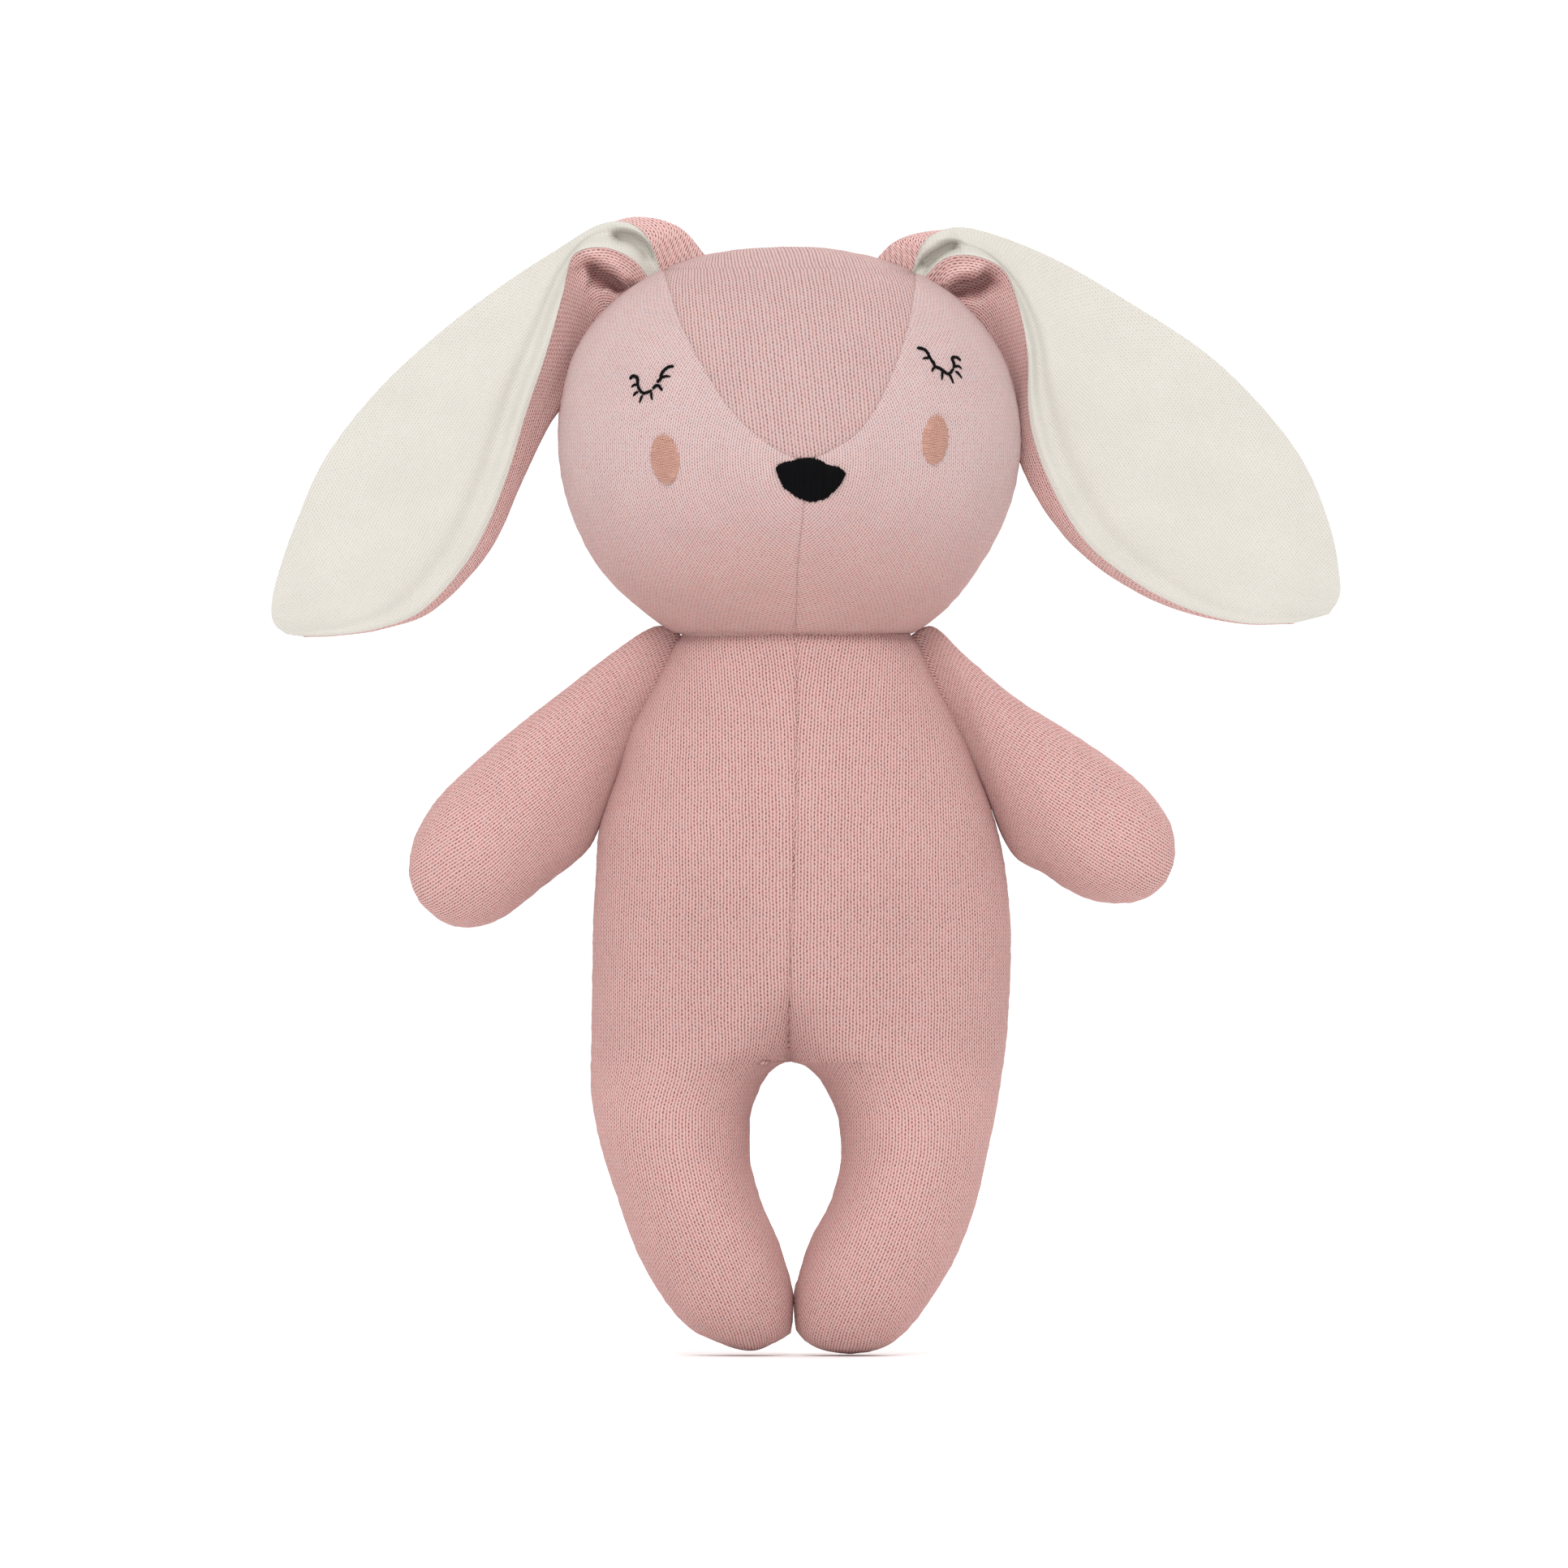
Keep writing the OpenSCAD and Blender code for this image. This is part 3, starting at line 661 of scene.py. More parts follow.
def make_face(side, material):
    low = head_levels(NECK, GUSSET_POINT, True, False, 1.7)
    rows = np.concatenate([low, head_levels(GUSSET_POINT, GUSSET_TOP[side], False, True, 1.9)[1:]])
    grid, _ = lay_rows([head_arc(side, z, panel_end(side, z)) for z in rows], HEAD_COLUMNS)
    grid = np.array(tuck_in(grid[0], -1)[::-1] + grid)
    neck, above = grid[len(TUCK)], grid[len(TUCK) + 1:]
    dart = np.array([[side * 33, 0, 233.5], [side * 25, 0, 226]], float)
    dart[:, 1] = face_y(dart[:, 0], dart[:, 2])
    seams = [(grid[:, 0], 0.5, 0.9), (grid[len(TUCK):, -1], 0.5, 0.8), (neck, 1.2, 1.8),
             (grid[-1], 0.4, 0.8), (dart, 0.5, 1.1)]
    cloth = grid, *face_fabric(grid, side)
    return sew(f"{WORD[side]}_face", material, away_from(HEAD_CENTRE), cloth, seams, 0.5, 2 + side,
               (above[:, 0], above[:, -1], grid[-1]), head_inward, head_painted_sheen_and_shade, CALM)


def make_forehead(material):
    low = head_levels(GUSSET_POINT, GUSSET_TOP[1], True, False, 1.9)
    rows = np.concatenate([low, cap_levels(GUSSET_TOP[1])])
    lines = [across_front(z, 180 - panel_end(-1, z), panel_end(1, z)) for z in rows]
    grid, d = lay_rows(lines, GUSSET_COLUMNS)
    grid = np.array(grid)
    across = np.array(d) - np.array([[np.interp(0, line[:, 0], lengths(line))] for line in lines])
    along = each_row(grid[:, GUSSET_COLUMNS // 2], GUSSET_COLUMNS)
    lean = math.radians(6)  # its wales lean towards -x as they rise
    u = across * math.cos(lean) + along * math.sin(lean)
    v = along * math.cos(lean) - across * math.sin(lean)
    seams = [(grid[:, 0], 0.45, 0.8), (grid[:, -1], 0.45, 0.8)]
    return sew("forehead", material, away_from(HEAD_CENTRE), (grid, u, v), seams, 0.4, 5,
               (grid[:, 0], grid[:, -1]), head_inward, calm=CALM)


def make_head_back(side, material):
    rows = np.concatenate([head_levels(NECK, 320, True, False, 2.6), cap_levels(320, side)])
    grid, d = lay_rows([head_arc(side, z, 90, back=True) for z in rows], HEAD_COLUMNS)
    grid = np.array(tuck_in(grid[0], -1)[::-1] + grid)
    across = [far[-1] - far for far in d[:1] * len(TUCK) + d]
    neck, above = grid[len(TUCK)], grid[len(TUCK) + 1:]
    seams = [(grid[:, 0], 0.5, 0.9), (grid[:, -1], 0.5, 0.9), (neck, 1.2, 1.8)]
    cloth = grid, across, each_row(grid[:, HEAD_COLUMNS // 2], HEAD_COLUMNS)
    return sew(f"{WORD[side]}_head_back", material, away_from(HEAD_CENTRE), cloth, seams,
               0.5, 8 + side, (above[:, 0], above[:, -1]), head_inward)


# ---------------------------------------------------------------- embroidery
NOSE_LEFT, NOSE_WIDTH = -6.6, 21.6
# x, z of the upper and the lower edge
NOSE_TOP = [[-6.6, 277.4], [-4.9, 278.7], [-1.2, 279.6], [2.8, 280.4], [4.3, 280.5], [6.5, 279.8],
            [9.8, 278.4], [12.5, 277.6], [15.0, 275.9]]
NOSE_LOW = [[-6.6, 276.9], [-6.0, 275.1], [-4.1, 271.4], [-2.3, 269.7], [-0.6, 268.5], [1.4, 267.6],
            [4.4, 266.8], [8.0, 267.7], [9.8, 268.7], [11.7, 270.3], [14.1, 273.4], [15.0, 275.5]]


FACE_STEP = 0.2  # distance over which the slope of the face is taken


def on_face(x, z, lift):
    """Points lifted off the front of the head, and their outward normals."""
    x, z = np.asarray(x, float), np.asarray(z, float)
    slope_x = (face_y(x + FACE_STEP, z) - face_y(x - FACE_STEP, z)) / (2 * FACE_STEP)
    slope_z = (face_y(x, z + FACE_STEP) - face_y(x, z - FACE_STEP)) / (2 * FACE_STEP)
    normal = np.stack([slope_x, -np.ones_like(x), slope_z], axis=-1)
    normal /= np.linalg.norm(normal, axis=-1, keepdims=True)
    point = np.stack([x, face_y(x, z), z], axis=-1)
    return point + normal * np.asarray(lift, float)[..., None], normal


def satin(low, high, threads, height, ragged, seed):
    """Satin stitch between two edges: low(t) and high(t) give x, z for t from 0 to 1 along the patch."""
    random = np.random.RandomState(seed)
    per_thread, along = 6, 15
    t = np.arange(threads * per_thread + 1) / (threads * per_thread)
    phase = np.abs(np.sin(np.pi * t * threads))
    index = np.minimum((t * threads).astype(int), threads - 1)
    low_end, high_end = low(t), high(t)
    span = high_end - low_end
    length = np.linalg.norm(span, axis=1, keepdims=True) + 1e-6
    unit = span / length
    low_end = low_end - unit * (random.uniform(-0.1, ragged, threads)[index] * phase**0.5)[:, None]
    high_end = high_end + unit * (random.uniform(-0.1, ragged, threads)[index] * phase**0.5)[:, None]
    s = 0.5 - 0.5 * np.cos(np.linspace(0, np.pi, along))
    xz = low_end[:, None] + (high_end - low_end)[:, None] * s[None, :, None]
    edge = np.minimum(1, 4.5 * np.minimum(s, 1 - s))[None] ** 0.5
    ends = np.minimum(1, 6 * np.minimum(t, 1 - t) + 0.25)[:, None] ** 0.5
    each = random.uniform(-0.1, 0.1, threads)[index][:, None]
    lift = edge * ends * height * (0.75 + each) + edge * 0.28 * phase[:, None] + 0.3 - 0.5 * (1 - edge)
    points, _ = on_face(xz[..., 0], xz[..., 1], lift)
    u = np.repeat((t * threads * 0.5)[:, None], along, axis=1)
    return points, u, s[None] * length


def make_nose(material):
    def edge(rows):
        def ends(t):
            x = NOSE_LEFT + NOSE_WIDTH * t
            return np.stack([x, follow(rows, x)], axis=1)
        return ends
    cloth = satin(edge(NOSE_LOW), edge(NOSE_TOP), 44, 1.2, 0.7, 3)
    return Shape().grid(*cloth).build("nose_satin_stitch", material, away_from((4, 60, 274)))


CHEEKS = {-1: ((-41.2, 280.2), 4.4, 7.7, 7), 1: ((43.1, 286.4), 4.0, 7.7, -6)}  # centre, half sizes, tilt


def make_cheek(side, material):
    centre, half_width, half_height, tilt = CHEEKS[side]
    c, s = math.cos(math.radians(tilt)), math.sin(math.radians(tilt))

    def edge(direction):
        def ends(t):
            v = half_height * (2 * t - 1)
            u = direction * half_width * np.sqrt(np.maximum(0.02, 1 - (2 * t - 1) ** 2))
            return np.stack([centre[0] + u * c - v * s, centre[1] + u * s + v * c], axis=1)
        return ends
    cloth = satin(edge(-1), edge(1), 30, 0.5, 0.45, 11 + side)
    return Shape().grid(*cloth).build(f"{WORD[side]}_cheek_stitches", material, away_from((0, 60, 280)))


def add_tube(shape, centre, rings, around, along):
    """Adds rings of points about a centre line to a shape, closed to a point at both ends."""
    count = rings.shape[1]
    rings = np.concatenate([centre[None, :1].repeat(count, 1), rings, centre[None, -1:].repeat(count, 1)])
    along = np.concatenate([[0], along, [along[-1]]])
    around, along = np.repeat(around[None], len(rings), 0), np.repeat(along[:, None], count, 1)
    shape.grid(rings, around, along, closed=True)


def stitch(shape, path, start_radius, end_radius):
    """One line of thread on the face through x, z points, plump in the middle of each stitch."""
    line = through(path, max(8, int(lengths(np.array(path, float))[-1] / 0.22)))
    s = lengths(line)
    share = s / s[-1]
    radius = start_radius + (end_radius - start_radius) * share
    radius = radius * np.minimum(1, 0.2 + 1.7 * np.minimum(s, s[-1] - s)) * (1 + 0.08 * np.sin(s * 5.2))
    centre, normal = on_face(line[:, 0], line[:, 1], radius * 0.45)
    tangent = np.gradient(centre, axis=0)
    tangent /= np.linalg.norm(tangent, axis=1, keepdims=True)
    side = np.cross(tangent, normal)
    a = np.linspace(0, 2 * np.pi, 10, endpoint=False)
    twist = 1 + 0.07 * np.sin(3 * a[None] + 6 * s[:, None])
    rings = (centre[:, None] + side[:, None] * (radius[:, None] * np.cos(a) * twist)[..., None]
             + normal[:, None] * (radius[:, None] * 0.75 * np.sin(a) * twist)[..., None])
    add_tube(shape, centre, rings, a * 0.5, s)


EYES = {
    -1: [
        [[-52.3, 305.3], [-51, 306.3], [-49.8, 305.7], [-49.7, 303.8], [-49.1, 302.1], [-47.9, 300.9],
         [-46.2, 301.3], [-45.1, 301.8]],
        [[-45, 302], [-44.1, 303.1], [-43.2, 303.2], [-42.5, 302.4], [-42, 301.6]],
        [[-43.8, 304.2], [-42.6, 305.2], [-42.2, 306.8], [-41.2, 308.2], [-39.7, 309.1], [-38.3, 309.2]],
        [[-49.9, 303.6], [-50.8, 303.5], [-51.8, 302.7]],
        [[-49.5, 301.4], [-50.4, 300.9], [-51.2, 299.9]],
        [[-48.2, 300.3], [-48.7, 299.1], [-49.2, 297.7]],
        [[-45.3, 301.2], [-45.4, 300], [-45.1, 298.6]],
        [[-42.2, 305.7], [-40.9, 306.1], [-39.3, 306]],
    ],
    1: [
        [[37.3, 315], [38.5, 314.9], [39.8, 314.4], [40.7, 313.4], [41.2, 312.3], [41.9, 311.2]],
        [[41.5, 311.5], [42.4, 310.5], [43, 309.2], [44.1, 308.8], [45, 308.3], [45.9, 307.6],
         [46.8, 307], [47.6, 307.2], [48.3, 308.1], [48.9, 308.8]],
        [[48.9, 308.7], [48.8, 310.4], [48.3, 312], [49.3, 312.3], [50.4, 311.8], [51, 311]],
        [[41.2, 311.9], [40.2, 311.9], [39, 311.6]],
        [[43.1, 309.1], [42.3, 308.5], [42.1, 307.4]],
        [[45.2, 307.8], [45.2, 306.4], [45.1, 304.9]],
        [[47.4, 306.9], [48.1, 305.5], [48.8, 303.9]],
        [[49.3, 307.9], [50.3, 307.1], [51.5, 305.6]],
        [[49, 309.2], [50, 309.5], [50.8, 309.2], [51.4, 308.4]],
    ],
}
EYE_THREAD = 0.56


def make_eye(side, material):
    shape = Shape()
    for k, path in enumerate(EYES[side]):
        long = len(path) > 4
        stitch(shape, path, EYE_THREAD if long else EYE_THREAD * 0.95, EYE_THREAD * (0.85 if long else 0.5))
    behind = (side * 44, face_y(side * 44, 306), 306)
    return shape.build(f"{WORD[side]}_eye_stitches", material, away_from(behind))


# ---------------------------------------------------------------- body and legs
# [height, outer side, inner side, middle, half depth], distances from x = 0
BODY = {
    -1: [[0.9, 14.5, 14.5, 14.5, 0], [3, 23.5, 8, 15.5, 9.5], [7.1, 32.6, 1.7, 17.2, 15],
         [17.3, 42.1, 1.05, 21.2, 20.5], [32.6, 50.7, 4.8, 27.5, 24], [50.5, 57.1, 12, 34.5, 26.6],
         [63.2, 61.2, 14.8, 38, 28.2], [73.4, 63.5, 14.8, 38.6, 29.8], [83.6, 64.8, 11.6, 37.2, 31.6],
         [88, 64.8, 9, 35.5, 32.4], [90.2, 64.8, 6.6, 34, 32.85], [91.3, 64.8, 4.5, 32.8, 33.05],
         [91.8, 64.8, 2.3, 32, 33.15], [104, 64.5, -9, 20, 35.6], [129.5, 64.3, -28, 0.6, 39.4],
         [150, 63.3, -28, 0, 40.8], [162, 62.7, -28, 0, 40.4], [183, 56.5, -28, 0, 38.4],
         [196, 52.6, -28, 0, 36.4], [211, 44, -28, 0, 32.6], [225.2, 37.5, -28, 0, 28]],
    1: [[0, 16.3, 16.3, 16.3, 0], [2, 27.3, 5.8, 16.5, 9.8], [7.1, 34.4, 0, 17.5, 15.5],
        [17.3, 42.3, -0.85, 21, 20.5], [32.6, 51, 2.8, 27, 24], [50.5, 57.1, 11.4, 34.2, 26.6],
        [63.2, 59.9, 13.9, 37, 28.2], [73.4, 62, 13, 37.6, 29.8], [83.6, 63.8, 8.7, 35.8, 31.6],
        [88, 64.4, 5.6, 33.5, 32.4], [90.2, 64.7, 2.8, 32, 32.85], [91.3, 64.9, 0.2, 31, 33.05],
        [91.8, 65, -2.3, 30, 33.15], [104, 66.3, -13, 19, 35.6], [129.5, 67.3, -28, 0.6, 39.4],
        [150, 65.8, -28, 0, 40.8], [162, 63.7, -28, 0, 40.4], [183, 56.9, -28, 0, 38.4],
        [196, 51.3, -28, 0, 36.4], [211, 43.6, -28, 0, 32.6], [225.2, 37, -28, 0, 28]],
}
CROTCH = 91.8
# the line down a leg that its wales follow
GUIDE = [[0, 15.5], [7.1, 17.3], [17.3, 21.6], [32.6, 28.0], [50.5, 34.3], [63.2, 37.0], [75, 37.4],
         [92, 33.5], [104, 33.5], [230, 33.5]]


def centre_x(z):
    """The centre seam wanders a little from the neck to the crotch."""
    return -2.3 * (NECK - np.asarray(z, float)) / (NECK - CROTCH) + 0.5 * np.sin(np.asarray(z, float) / 23)


def body_row(side, z):
    """Outer, inner, middle and depth at height z, and the angle where the section meets the centre seam."""
    rows = np.array(BODY[side])
    low = rows[0, 0]
    place = np.sqrt(np.maximum(0, rows[:, 0] - low))
    out, inner, middle, depth = hermite(place, rows[:, 1:], math.sqrt(max(0, z - low)), steady=True)
    last = math.pi
    if z > CROTCH:
        reach = side * float(centre_x(z)) - middle
        half = out - middle if reach > 0 else middle - inner
        last = math.acos(max(-1.0, min(1.0, reach / max(half, 1e-6))))
    return out, inner, middle, depth, last


def body_section(side, z):
    """Front half of a section at height z, from the side seam inwards."""
    out, inner, middle, depth, last = body_row(side, z)
    f = np.linspace(0, last, 200)
    c = np.cos(f)
    x = middle + np.where(c > 0, out - middle, middle - inner) * c
    line = np.stack([side * x, -depth * np.sin(f), np.full(len(f), z)], axis=1)
    if z > CROTCH:
        other = body_row(-side, z)
        meet = 0.5 * (depth * math.sin(last) + other[3] * math.sin(other[4]))
        s = lengths(line)
        line[:, 1] += (-meet - line[-1, 1]) * smooth(s[-1] * 0.6, s[-1], s)
    return line


def body_levels(side):
    low = BODY[side][0][0]
    foot = low + np.array([0, 0.05, 0.15, 0.35, 0.7, 1.2, 1.9, 2.8, 4.0, 5.6, 7.4, 9.2])
    leg = np.linspace(foot[-1], CROTCH - 1.5, 40)[1:]
    fork = CROTCH + np.array([-0.8, -0.3, 0.02, 0.15, 0.4, 0.8, 1.4, 2.2, 3.2, 4.4, 6.0])
    chest = np.linspace(fork[-1], NECK - 4.0, 56)[1:]
    return np.concatenate([foot, leg, fork, chest, NECK - EDGE_STEPS[::-1][1:]])


def body_inward(points):
    """Where the body's seams lie: the side and inner leg seams sink sideways, the centre seam backwards."""
    x, y, z = points.T
    centre = (z > CROTCH) & (np.abs(x - centre_x(z)) < 0.01)
    inner = (np.abs(y) < 0.01) & (z <= CROTCH) & (np.abs(x) < follow(GUIDE, z))
    sunk = np.where(centre, np.sign(y) * np.maximum(np.abs(y) - 0.45, np.abs(y) * 0.5), y)
    sideways = np.where(centre, 0, np.where(inner, 0.3, -0.5))
    lift = np.where(z < 3, 0, 1)
    return np.stack([x + sideways * lift * np.sign(x), sunk, z], axis=1)


def body_painted_shade(points):
    """Painted shade: the knit is coloured darker over the belly than on the legs, a little less dark on the
    chest.
    """
    z = points[:, 2]
    return -0.75 * smooth(75, 105, z) + 0.25 * smooth(130, 180, z)


def make_body_half(side, back, material):
    grid, across, depth = [], [], []
    for z in body_levels(side):
        line = body_section(side, z)
        if back:
            line = line * np.array([1, -1, 1])
        points, d = resample(line, BODY_COLUMNS)
        guide = float(follow(GUIDE, z))
        grid.append(points)
        across.append(float(np.interp(-guide, -side * line[:, 0], lengths(line))) - d + 34)
        depth.append(line[:, 1][np.abs(line[:, 1]).argmax()])
    neck, below = grid[-1], np.array(grid[:-1])
    grid = np.array(grid + tuck_in(neck, 1))
    across += across[-1:] * len(TUCK)
    depth += [depth[-1] * (1 + deep * 0.03) for _, deep in TUCK]
    along = each_row(np.stack([grid[:, 0, 2], np.array(depth)], axis=1), BODY_COLUMNS)

    def outward(points):
        x, y, z = points.T
        return np.stack([x - side * 30 * smooth(130, 80, z), y, 0 * z], axis=1)
    seams = [(grid[:, 0], 0.5, 0.9), (grid[:, -1], 0.45, 0.8), (neck, 0.9, 1.5)]
    name = f"{WORD[side]}_body_{'back' if back else 'front'}"
    return sew(name, material, outward, (grid, across, along), seams,
               0.55, 12 + side + 4 * back, (below[:, 0], below[:, -1]), body_inward, body_painted_shade)


def make_centre_stitches(material):
    """Short slanted hand stitches that show down the upper front seam."""
    shape = Shape()
    random = np.random.RandomState(5)
    for z in np.arange(219, 118, -3.6):
        x = float(centre_x(z)) + random.uniform(-0.25, 0.25)
        length, lean = random.uniform(1.0, 1.9), random.uniform(-0.5, 0.5)
        size = random.uniform(0.16, 0.24) * float(smooth(112, 150, z)) + 0.06
        t = np.linspace(-1, 1, 9)
        px, pz = x + lean * t, z + length / 2 * t
        y = -body_depth(pz) + 0.25 - 0.28 * (1 - t * t)
        centre = np.stack([px, y, pz], axis=1)
        a = np.linspace(0, 2 * np.pi, 6, endpoint=False)
        radius = (size * (1 - 0.6 * t**4))[:, None]
        rings = centre[:, None] + np.stack([radius * np.cos(a), radius * np.sin(a), 0 * radius * a], axis=-1)
        add_tube(shape, centre, rings, a * size, (t + 1) * length / 2)
    return shape.build("centre_seam_stitches", material, away_from((0, 0, 180)))


def body_depth(z):
    rows = np.array(BODY[1])
    low = rows[0, 0]
    return hermite(np.sqrt(rows[:, 0] - low), rows[:, 4], np.sqrt(z - low))


# ---------------------------------------------------------------- arms
# [top edge x, z, bottom edge x, z, half thickness], x as a distance from the centre line
ARMS = {
    -1: [[33, 222, 55, 172, 2], [37.4, 227, 58.5, 174, 4.2], [45, 228.8, 64, 160.5, 7],
         [58, 220.5, 70, 154, 11.5], [73.5, 208.5, 77.5, 148.5, 15.5], [88.5, 196.8, 85, 142.5, 18],
         [101.7, 185.6, 92.5, 137, 18.6], [113, 174.5, 101.5, 133.9, 17.2], [120, 163, 110, 135, 13.6],
         [122, 152.5, 117.2, 140.3, 7.6], [121.2, 147, 119.8, 144.2, 2.2]],
    1: [[32.5, 222, 56, 171, 2], [36.8, 227, 59.5, 174, 4.2], [43.4, 228.6, 65.2, 160.5, 6.8],
        [53.5, 219, 70, 154.5, 11], [69.1, 206, 77, 151, 15.5], [85.2, 195.8, 85, 145.7, 18],
        [98, 187.2, 92.5, 142.5, 18.6], [109.5, 177.8, 100.5, 141.4, 17.2],
        [117, 167.5, 108.5, 142.6, 13], [118.9, 158.5, 115, 147.2, 7.2], [118.4, 154, 117.2, 151, 2]],
}


ARM_END = 12  # the rows crowd over this length at the hand


def make_arm(side, back, material):
    rows = np.array(ARMS[side])
    last = len(rows) - 1
    fine = hermite(np.arange(last + 1), rows, np.linspace(0, last, 400))
    s = lengths((fine[:, 0:2] + fine[:, 2:4]) / 2)
    end = s[-1] - ARM_END * (1 - np.linspace(0, 1, 16)[1:] ** 0.7)
    wanted = np.concatenate([np.linspace(0, s[-1] - ARM_END, 48), end])
    a = np.linspace(0, np.pi, 120)
    grid, across = [], []
    for q in np.interp(wanted, s, np.linspace(0, last, 400)):
        top_x, top_z, low_x, low_z, half = hermite(np.arange(last + 1), rows, q)
        x = side * ((top_x + low_x) / 2 + (top_x - low_x) / 2 * np.cos(a))
        z = (top_z + low_z) / 2 + (top_z - low_z) / 2 * np.cos(a)
        points, d = resample(np.stack([x, (1 if back else -1) * half * np.sin(a), z], axis=1), ARM_COLUMNS)
        grid.append(points)
        across.append(d - d[-1] / 2)
    grid.append(np.repeat((grid[-1].mean(axis=0) * IN_PLANE)[None], ARM_COLUMNS, axis=0))
    across.append(across[-1] * 0)
    grid = np.array(grid)
    spine = grid.mean(axis=1) * IN_PLANE
    centre = np.array([side * 80, 0, 180.0])

    def inward(points):
        out = points - spine[np.linalg.norm(points[:, None] - spine[None], axis=2).argmin(axis=1)]
        return points - 0.5 * out / np.maximum(np.linalg.norm(out, axis=1, keepdims=True), 1)
    along = each_row(grid[:, ARM_COLUMNS // 2], ARM_COLUMNS)
    edges = grid[:, 0], grid[:, -1]
    return sew(f"{WORD[side]}_arm_{'back' if back else 'front'}", material,
               lambda points: (points - centre) * np.array([0.2, 1, 0.2]), (grid, across, along),
               [(edge, 0.5, 0.9) for edge in edges], 0.5, 22 + side + 4 * back, edges, inward)


# ---------------------------------------------------------------- ears
# Rows run from the seam on the head to the tip; each point is x, z.
EARS = {
    -1: {
        "pink_outer": [[-28.6, 344.5], [-37, 354.1], [-50.5, 357.2], [-61.4, 353.2], [-74.9, 344.8],
                       [-90.4, 334.4], [-110.2, 319.4], [-129.8, 301.5], [-145.6, 281.5], [-154.9, 261.4],
                       [-161, 244.4], [-163.2, 235], [-162.4, 230.6], [-159.6, 227.6]],
        "cream_outer": [[-42.6, 339.4], [-46.6, 350], [-53.2, 355.3], [-62.8, 354.5], [-76, 346.6],
                        [-92, 336.2], [-112, 321.1], [-131.6, 302.9], [-147.6, 282.5], [-157.1, 262.1],
                        [-163.2, 244.5], [-165.2, 234.5], [-164.2, 229.2], [-160.5, 226.1]],
        "cream_inner": [[-45.8, 336.8], [-51.5, 343.6], [-60.8, 347.3], [-70.2, 344.8], [-73.6, 332.5],
                        [-78.8, 314], [-84.6, 296.8], [-90.6, 277], [-97.2, 260.3], [-105, 246.9],
                        [-118, 233.3], [-132, 227.7], [-146, 225.7], [-155, 225.4]],
        "pink_inner": [[-51, 329], [-54.5, 328], [-57.5, 326.5], [-61, 322.5], [-66, 313],
                       [-71.6, 300.5], [-78.3, 291], [-86.2, 274.6], [-92.8, 258.8], [-101.2, 246.2],
                       [-115.5, 232.8], [-131, 227.5], [-145.5, 225.5], [-155, 225.3]],
        "pocket": [[-66.6, 341.6], [-64.5, 341.8], [-61.8, 340.4], [-58.6, 338.6], [-56.6, 336.6],
                   [-55.6, 333]],
        "crease": [[-58.5, 351.2], [-54.5, 351.4], [-50.4, 350.3], [-47.4, 347.8], [-44.8, 344]],
    },
    1: {
        "pink_outer": [[24.5, 343.6], [30.5, 349.4], [39.5, 352.4], [51, 352.2], [65, 348.7],
                       [82.6, 340.6], [102.4, 328.8], [126.6, 313.2], [144.2, 296.2], [157.8, 278],
                       [165.6, 259.2], [168.3, 245.2], [168.4, 238.6], [166, 233.8]],
        "cream_outer": [[35.8, 339], [39.2, 348.4], [44, 352.2], [52, 353.9], [66, 350.3],
                        [84, 342.4], [104, 330.6], [128, 314.8], [146, 297.6], [159.8, 279],
                        [167.6, 259.5], [170.4, 245], [170.4, 237.8], [167.2, 232.4]],
        "cream_inner": [[39.2, 337], [46.5, 344], [56, 344.6], [65, 340], [69.4, 329.5],
                        [72.4, 314], [72.6, 297.5], [75.4, 283.5], [82.9, 266.5], [92, 253.6],
                        [106, 242.6], [122, 234.3], [140, 229.6], [156, 229.5]],
        "pink_inner": [[46.5, 330], [49, 327], [52, 324.5], [56.5, 319.5], [62, 310.5],
                       [66.5, 299], [68, 288], [70.5, 278.5], [77.2, 265.4], [87.3, 253],
                       [102.3, 241.6], [120, 233.5], [139.5, 229.3], [156, 229.4]],
        "pocket": [[60.6, 340.6], [58.6, 338.4], [55.6, 336.9], [52.6, 336.7], [50.2, 335.6],
                   [48.4, 332.6]],
        "crease": [[51, 348.9], [47.4, 347.7], [43.8, 345.7], [40.5, 343.2], [38, 340.8]],
    },
}
# For each row: depths of the cream and the pink edges, bulge of the pink ply, hollow of the cream ply
# and size of its rolled rim.
EAR_FRONT_OUTER = [-4, -6, -5, -1.5, 0, 0, 0, 0, 0, 0, 0, 0, 0, 0]
EAR_FRONT_INNER = [-5, -8, -9.5, -9.5, -8.5, -7.5, -6.5, -5.5, -4.5, -3.5, -2.5, -1.6, -0.8, 0]
EAR_SIDE_OUTER = [0, 0, 0.8, 1.8, 2.2, 2.2, 2.2, 2.2, 2.2, 2.2, 2.1, 2.0, 1.8, 1.6]
EAR_SIDE_INNER = [0, 1.5, 3.5, 5.5, 6.5, 6, 3.5, 2.2, 1.8, 1.5, 1.3, 1.2, 1.2, 1.3]
EAR_BACK = [4.5, 6.5, 8, 8.5, 9.5, 9, 7.5, 6.5, 5.5, 4.8, 4, 3.4, 2.6, 1.2]
EAR_CHANNEL = [1.0, 1.5, 1.8, 1.6, 1.2, 0.4, -0.8, -1.2, -1.4, -1.4, -1.2, -0.8, -0.4, 0]
# width, length and area of each ply before sewing, in metres
EAR_CUT = {"ear_lining": (0.066, 0.185, 0.0078), "ear_outer": (0.088, 0.195, 0.0118)}
EAR_RIM = [0, 0.3, 0.6, 1, 1, 1, 1, 0.9, 0.8, 0.6, 0.4, 0.2, 0.1, 0]


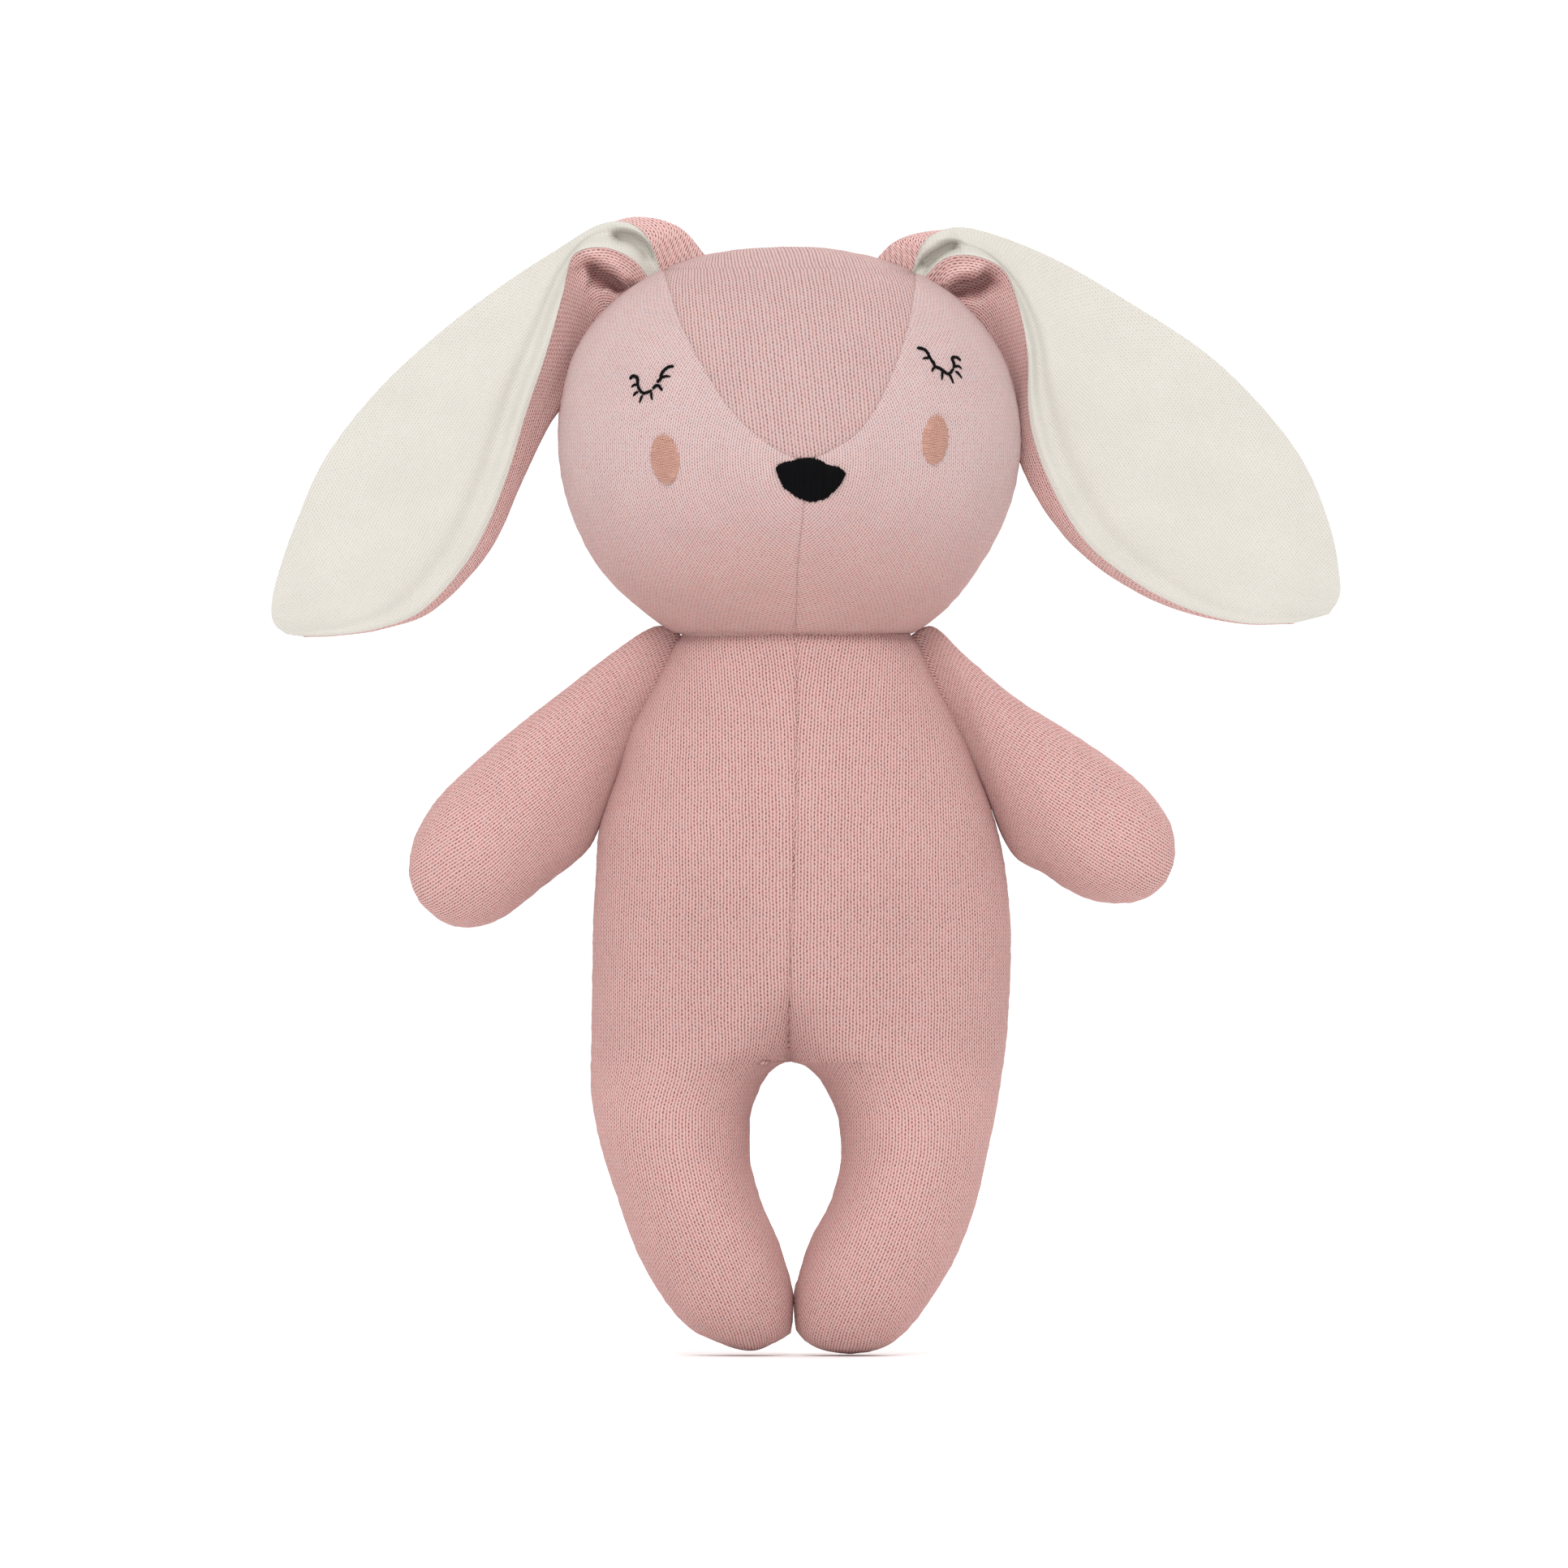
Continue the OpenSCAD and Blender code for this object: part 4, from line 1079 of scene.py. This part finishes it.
# how a fold is pressed in: depth, half width above and below its path, roll of the lip, furthest back
POCKET_FOLD = (12.0, 1.2, 4.2, 2.6, -1.2)
CREASE_FOLD = (7.0, 1.0, 2.2, 1.6, 3.6)


class Ear:
    """The two plies of one ear, in rows from the seam on the head to the tip."""

    def __init__(self, side):
        self.side = side
        table = EARS[side]
        self.pocket, self.crease = table["pocket"], table["crease"]
        count = len(EAR_BACK)
        steps = np.arange(count)
        columns = np.column_stack([
            table["pink_outer"], table["cream_outer"], table["cream_inner"], table["pink_inner"],
            EAR_FRONT_OUTER, EAR_FRONT_INNER, EAR_SIDE_OUTER, EAR_SIDE_INNER,
            EAR_BACK, EAR_CHANNEL, EAR_RIM])
        fine = hermite(steps, columns, np.linspace(0, count - 1, 900))
        middle = (fine[:, 0:2] + fine[:, 6:8]) / 2
        s = lengths(middle)
        wanted = np.concatenate([np.linspace(0, 46, 47), np.linspace(46, s[-1] - 3, 72)[1:],
                                 s[-1] - np.array([2.2, 1.5, 0.9, 0.45, 0.15, 0.0])])
        self.length = wanted
        self.rows = hermite(steps, columns, np.interp(wanted, s, np.linspace(0, count - 1, 900)))

    def corners(self, row):
        """Where the four lines of EARS cross one row, with depth, and the row's back, channel and rim."""
        front_outer, front_inner, side_outer, side_inner, *rest = row[8:]
        depths = side_outer, front_outer, front_inner, side_inner
        return *[np.array([x, y, z]) for (x, z), y in zip(row[:8].reshape(4, 2), depths)], *rest

    def cream_line(self, row):
        _, outer, inner, _, _, channel, rim = self.corners(row)
        t = np.linspace(0, 1, 160)[:, None]
        line = outer * (1 - t) + inner * t
        width = np.linalg.norm(inner - outer)
        t = t[:, 0]
        line[:, 1] += channel * 4 * t * (1 - t)
        from_rim = (1 - t) * width
        size = min(1.0, width / 14)
        valley, roll = np.exp(-((from_rim - 6.6) / 3.0) ** 2), np.exp(-((from_rim - 2.2) / 1.8) ** 2)
        line[:, 1] += rim * size * (2.1 * valley - 1.2 * roll)
        return line

    def pink_line(self, row):
        outer, front_outer, front_inner, inner, back, _, _ = self.corners(row)
        span = inner - outer
        span[1] = 0
        flat = outer * IN_PLANE
        behind = [flat + span * share + np.array([0, back * deep, 0]) for share, deep in
                  ((0.12, 0.75), (0.4, 1.0), (0.7, 1.0), (0.92, 0.85))]
        last = inner + (front_inner - inner) * 0.4 - np.array([0, 0.8, 0])
        return through([front_outer, outer, *behind, inner, last, front_inner], 240)

    def make_ply(self, name, line, count, across, material, outward, seen, path, fold):
        """One ply, with a fold pressed in along path where seen, a share for each column, isn't nought.

        across(distances) gives the fabric coordinates of a row."""
        grid, d = lay_rows([line(row) for row in self.rows], count)
        grid, u = np.array(grid), np.array([across(far) for far in d])
        from_edge = np.minimum(np.abs(u - u[:, :1]), np.abs(u - u[:, -1:]))
        seen = seen * smooth(0, 2, from_edge)
        grid = grid + (self.fold(grid, path, *fold) - grid) * seen[..., None]
        share = np.linspace(0, 1, count)[:, None]
        tip = grid[-1, 0] + (grid[-1, -1] - grid[-1, 0]) * share
        grid = np.concatenate([grid, tip[None]])
        u = np.concatenate([u, u[-1:]])
        v = np.repeat(np.append(self.length, self.length[-1] + 0.5)[:, None], count, axis=1)
        seams = [(grid[:, 0], 0.0, 0.8), (grid[:, -1], 0.0, 0.8)]
        return sew(f"{WORD[self.side]}_{name}", material, lambda p: np.array([[0, outward, 0]]) + 0 * p,
                   (grid, u, v), seams, 0.35, 31 + self.side + outward)

    def make(self, cream_material, pink_material):
        lining = self.make_ply("ear_lining", self.cream_line, LINING_COLUMNS, lambda d: d - d[-1] * 0.5,
                               cream_material, -1, np.ones(LINING_COLUMNS), self.crease, CREASE_FOLD)
        in_front = smooth(60, 66, np.arange(EAR_BACK_COLUMNS))
        back = self.make_ply("ear_back", self.pink_line, EAR_BACK_COLUMNS, lambda d: d[-1] - d,
                             pink_material, 1, in_front, self.pocket, POCKET_FOLD)
        return lining, back

    def fold(self, grid, path, deep, above, below, roll, floor):
        """Sinks the front of a grid along a path of x, z points, and rolls its upper lip forward.

        It sinks no further than floor behind the rearmost point of its row."""
        flat = grid.reshape(-1, 3) * IN_PLANE
        line = through([[x, 0, z] for x, z in path], 40)
        d, place = near_line(flat, line)
        nearest = np.linalg.norm(flat[:, None] - line[None], axis=2).argmin(axis=1)
        height = flat[:, 2] - line[nearest, 2] + 0.25 * (np.abs(flat[:, 0]) - np.abs(line[nearest, 0]))
        upper = smooth(-0.8, 0.8, height)
        width = below + (above - below) * upper
        ends = smooth(0, 2.5, place) * smooth(lengths(line)[-1], lengths(line)[-1] - 1.5, place)
        move = deep * np.exp(-(d / width) ** 2) * (0.15 + 0.85 * ends)
        move -= roll * upper * np.exp(-((d - 3.0) / 1.7) ** 2) * ends
        moved = grid.copy()
        deepest = grid[..., 1].max(axis=1, keepdims=True) + floor
        moved[..., 1] += move.reshape(grid.shape[:2])
        moved[..., 1] = np.where(moved[..., 1] > deepest, np.maximum(deepest, grid[..., 1]), moved[..., 1])
        return moved


# ---------------------------------------------------------------- assembly
FABRIC = 1.1  # thickness of the knit


def finish_panel(piece, nodes, thickness=FABRIC):
    if thickness:
        solid = piece.modifiers.new("fabric_thickness", "SOLIDIFY")
        solid.thickness = thickness * MM
        solid.offset = -1
    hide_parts(*nodes)


def finish_stitches(piece, nodes, body):
    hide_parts(*nodes)
    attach(piece, body)


def make_side(side, word, m):
    face, head_back = make_face(side, m["face"]), make_head_back(side, m["torso"])
    for piece, node in ((face, "face_panel"), (head_back, "head_back")):
        finish_panel(piece, [f"{node}_{word}"])
        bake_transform(piece)
    for part in ("front", "back"):
        body = make_body_half(side, part == "back", m["torso"])
        finish_panel(body, [f"torso_{part}_{word}", f"leg_{part}_{word}"])
        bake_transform(body)
        if part == "front":
            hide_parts(f"leg_stuffing_{word}")
    for part in ("front", "back"):
        arm = make_arm(side, part == "back", m["torso"])
        finish_panel(arm, [f"arm_{part}_{word}"])
        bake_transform(arm)
        if part == "front":
            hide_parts(f"arm_stuffing_{word}")
    lining, outer = Ear(side).make(m["cream"], m["ear_back"])
    for piece, slot, node in ((lining, "cream_jersey", "ear_lining"), (outer, "pink_knit", "ear_outer")):
        width, length, area = EAR_CUT[node]
        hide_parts(f"{node}_{word}")
        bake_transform(piece)
    eye, cheek = make_eye(side, m["black"]), make_cheek(side, m["peach"])
    finish_stitches(eye, [f"eye_embroidery_{word}"], "head")
    finish_stitches(cheek, [f"cheek_embroidery_{word}"], "head")


def make_all():
    m = make_materials()
    for side, word in WORD.items():
        make_side(side, word, m)
    forehead = make_forehead(m["forehead"])
    finish_panel(forehead, ["forehead_gusset", "head_stuffing"], 0)
    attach(forehead, "head")
    finish_stitches(make_nose(m["black"]), ["nose_embroidery"], "head")
    stitches = make_centre_stitches(m["seam"])
    finish_stitches(stitches, ["front_seam_stitches", "torso_stuffing"], "torso")


make_camera()
make_studio()
make_floor()
make_all()
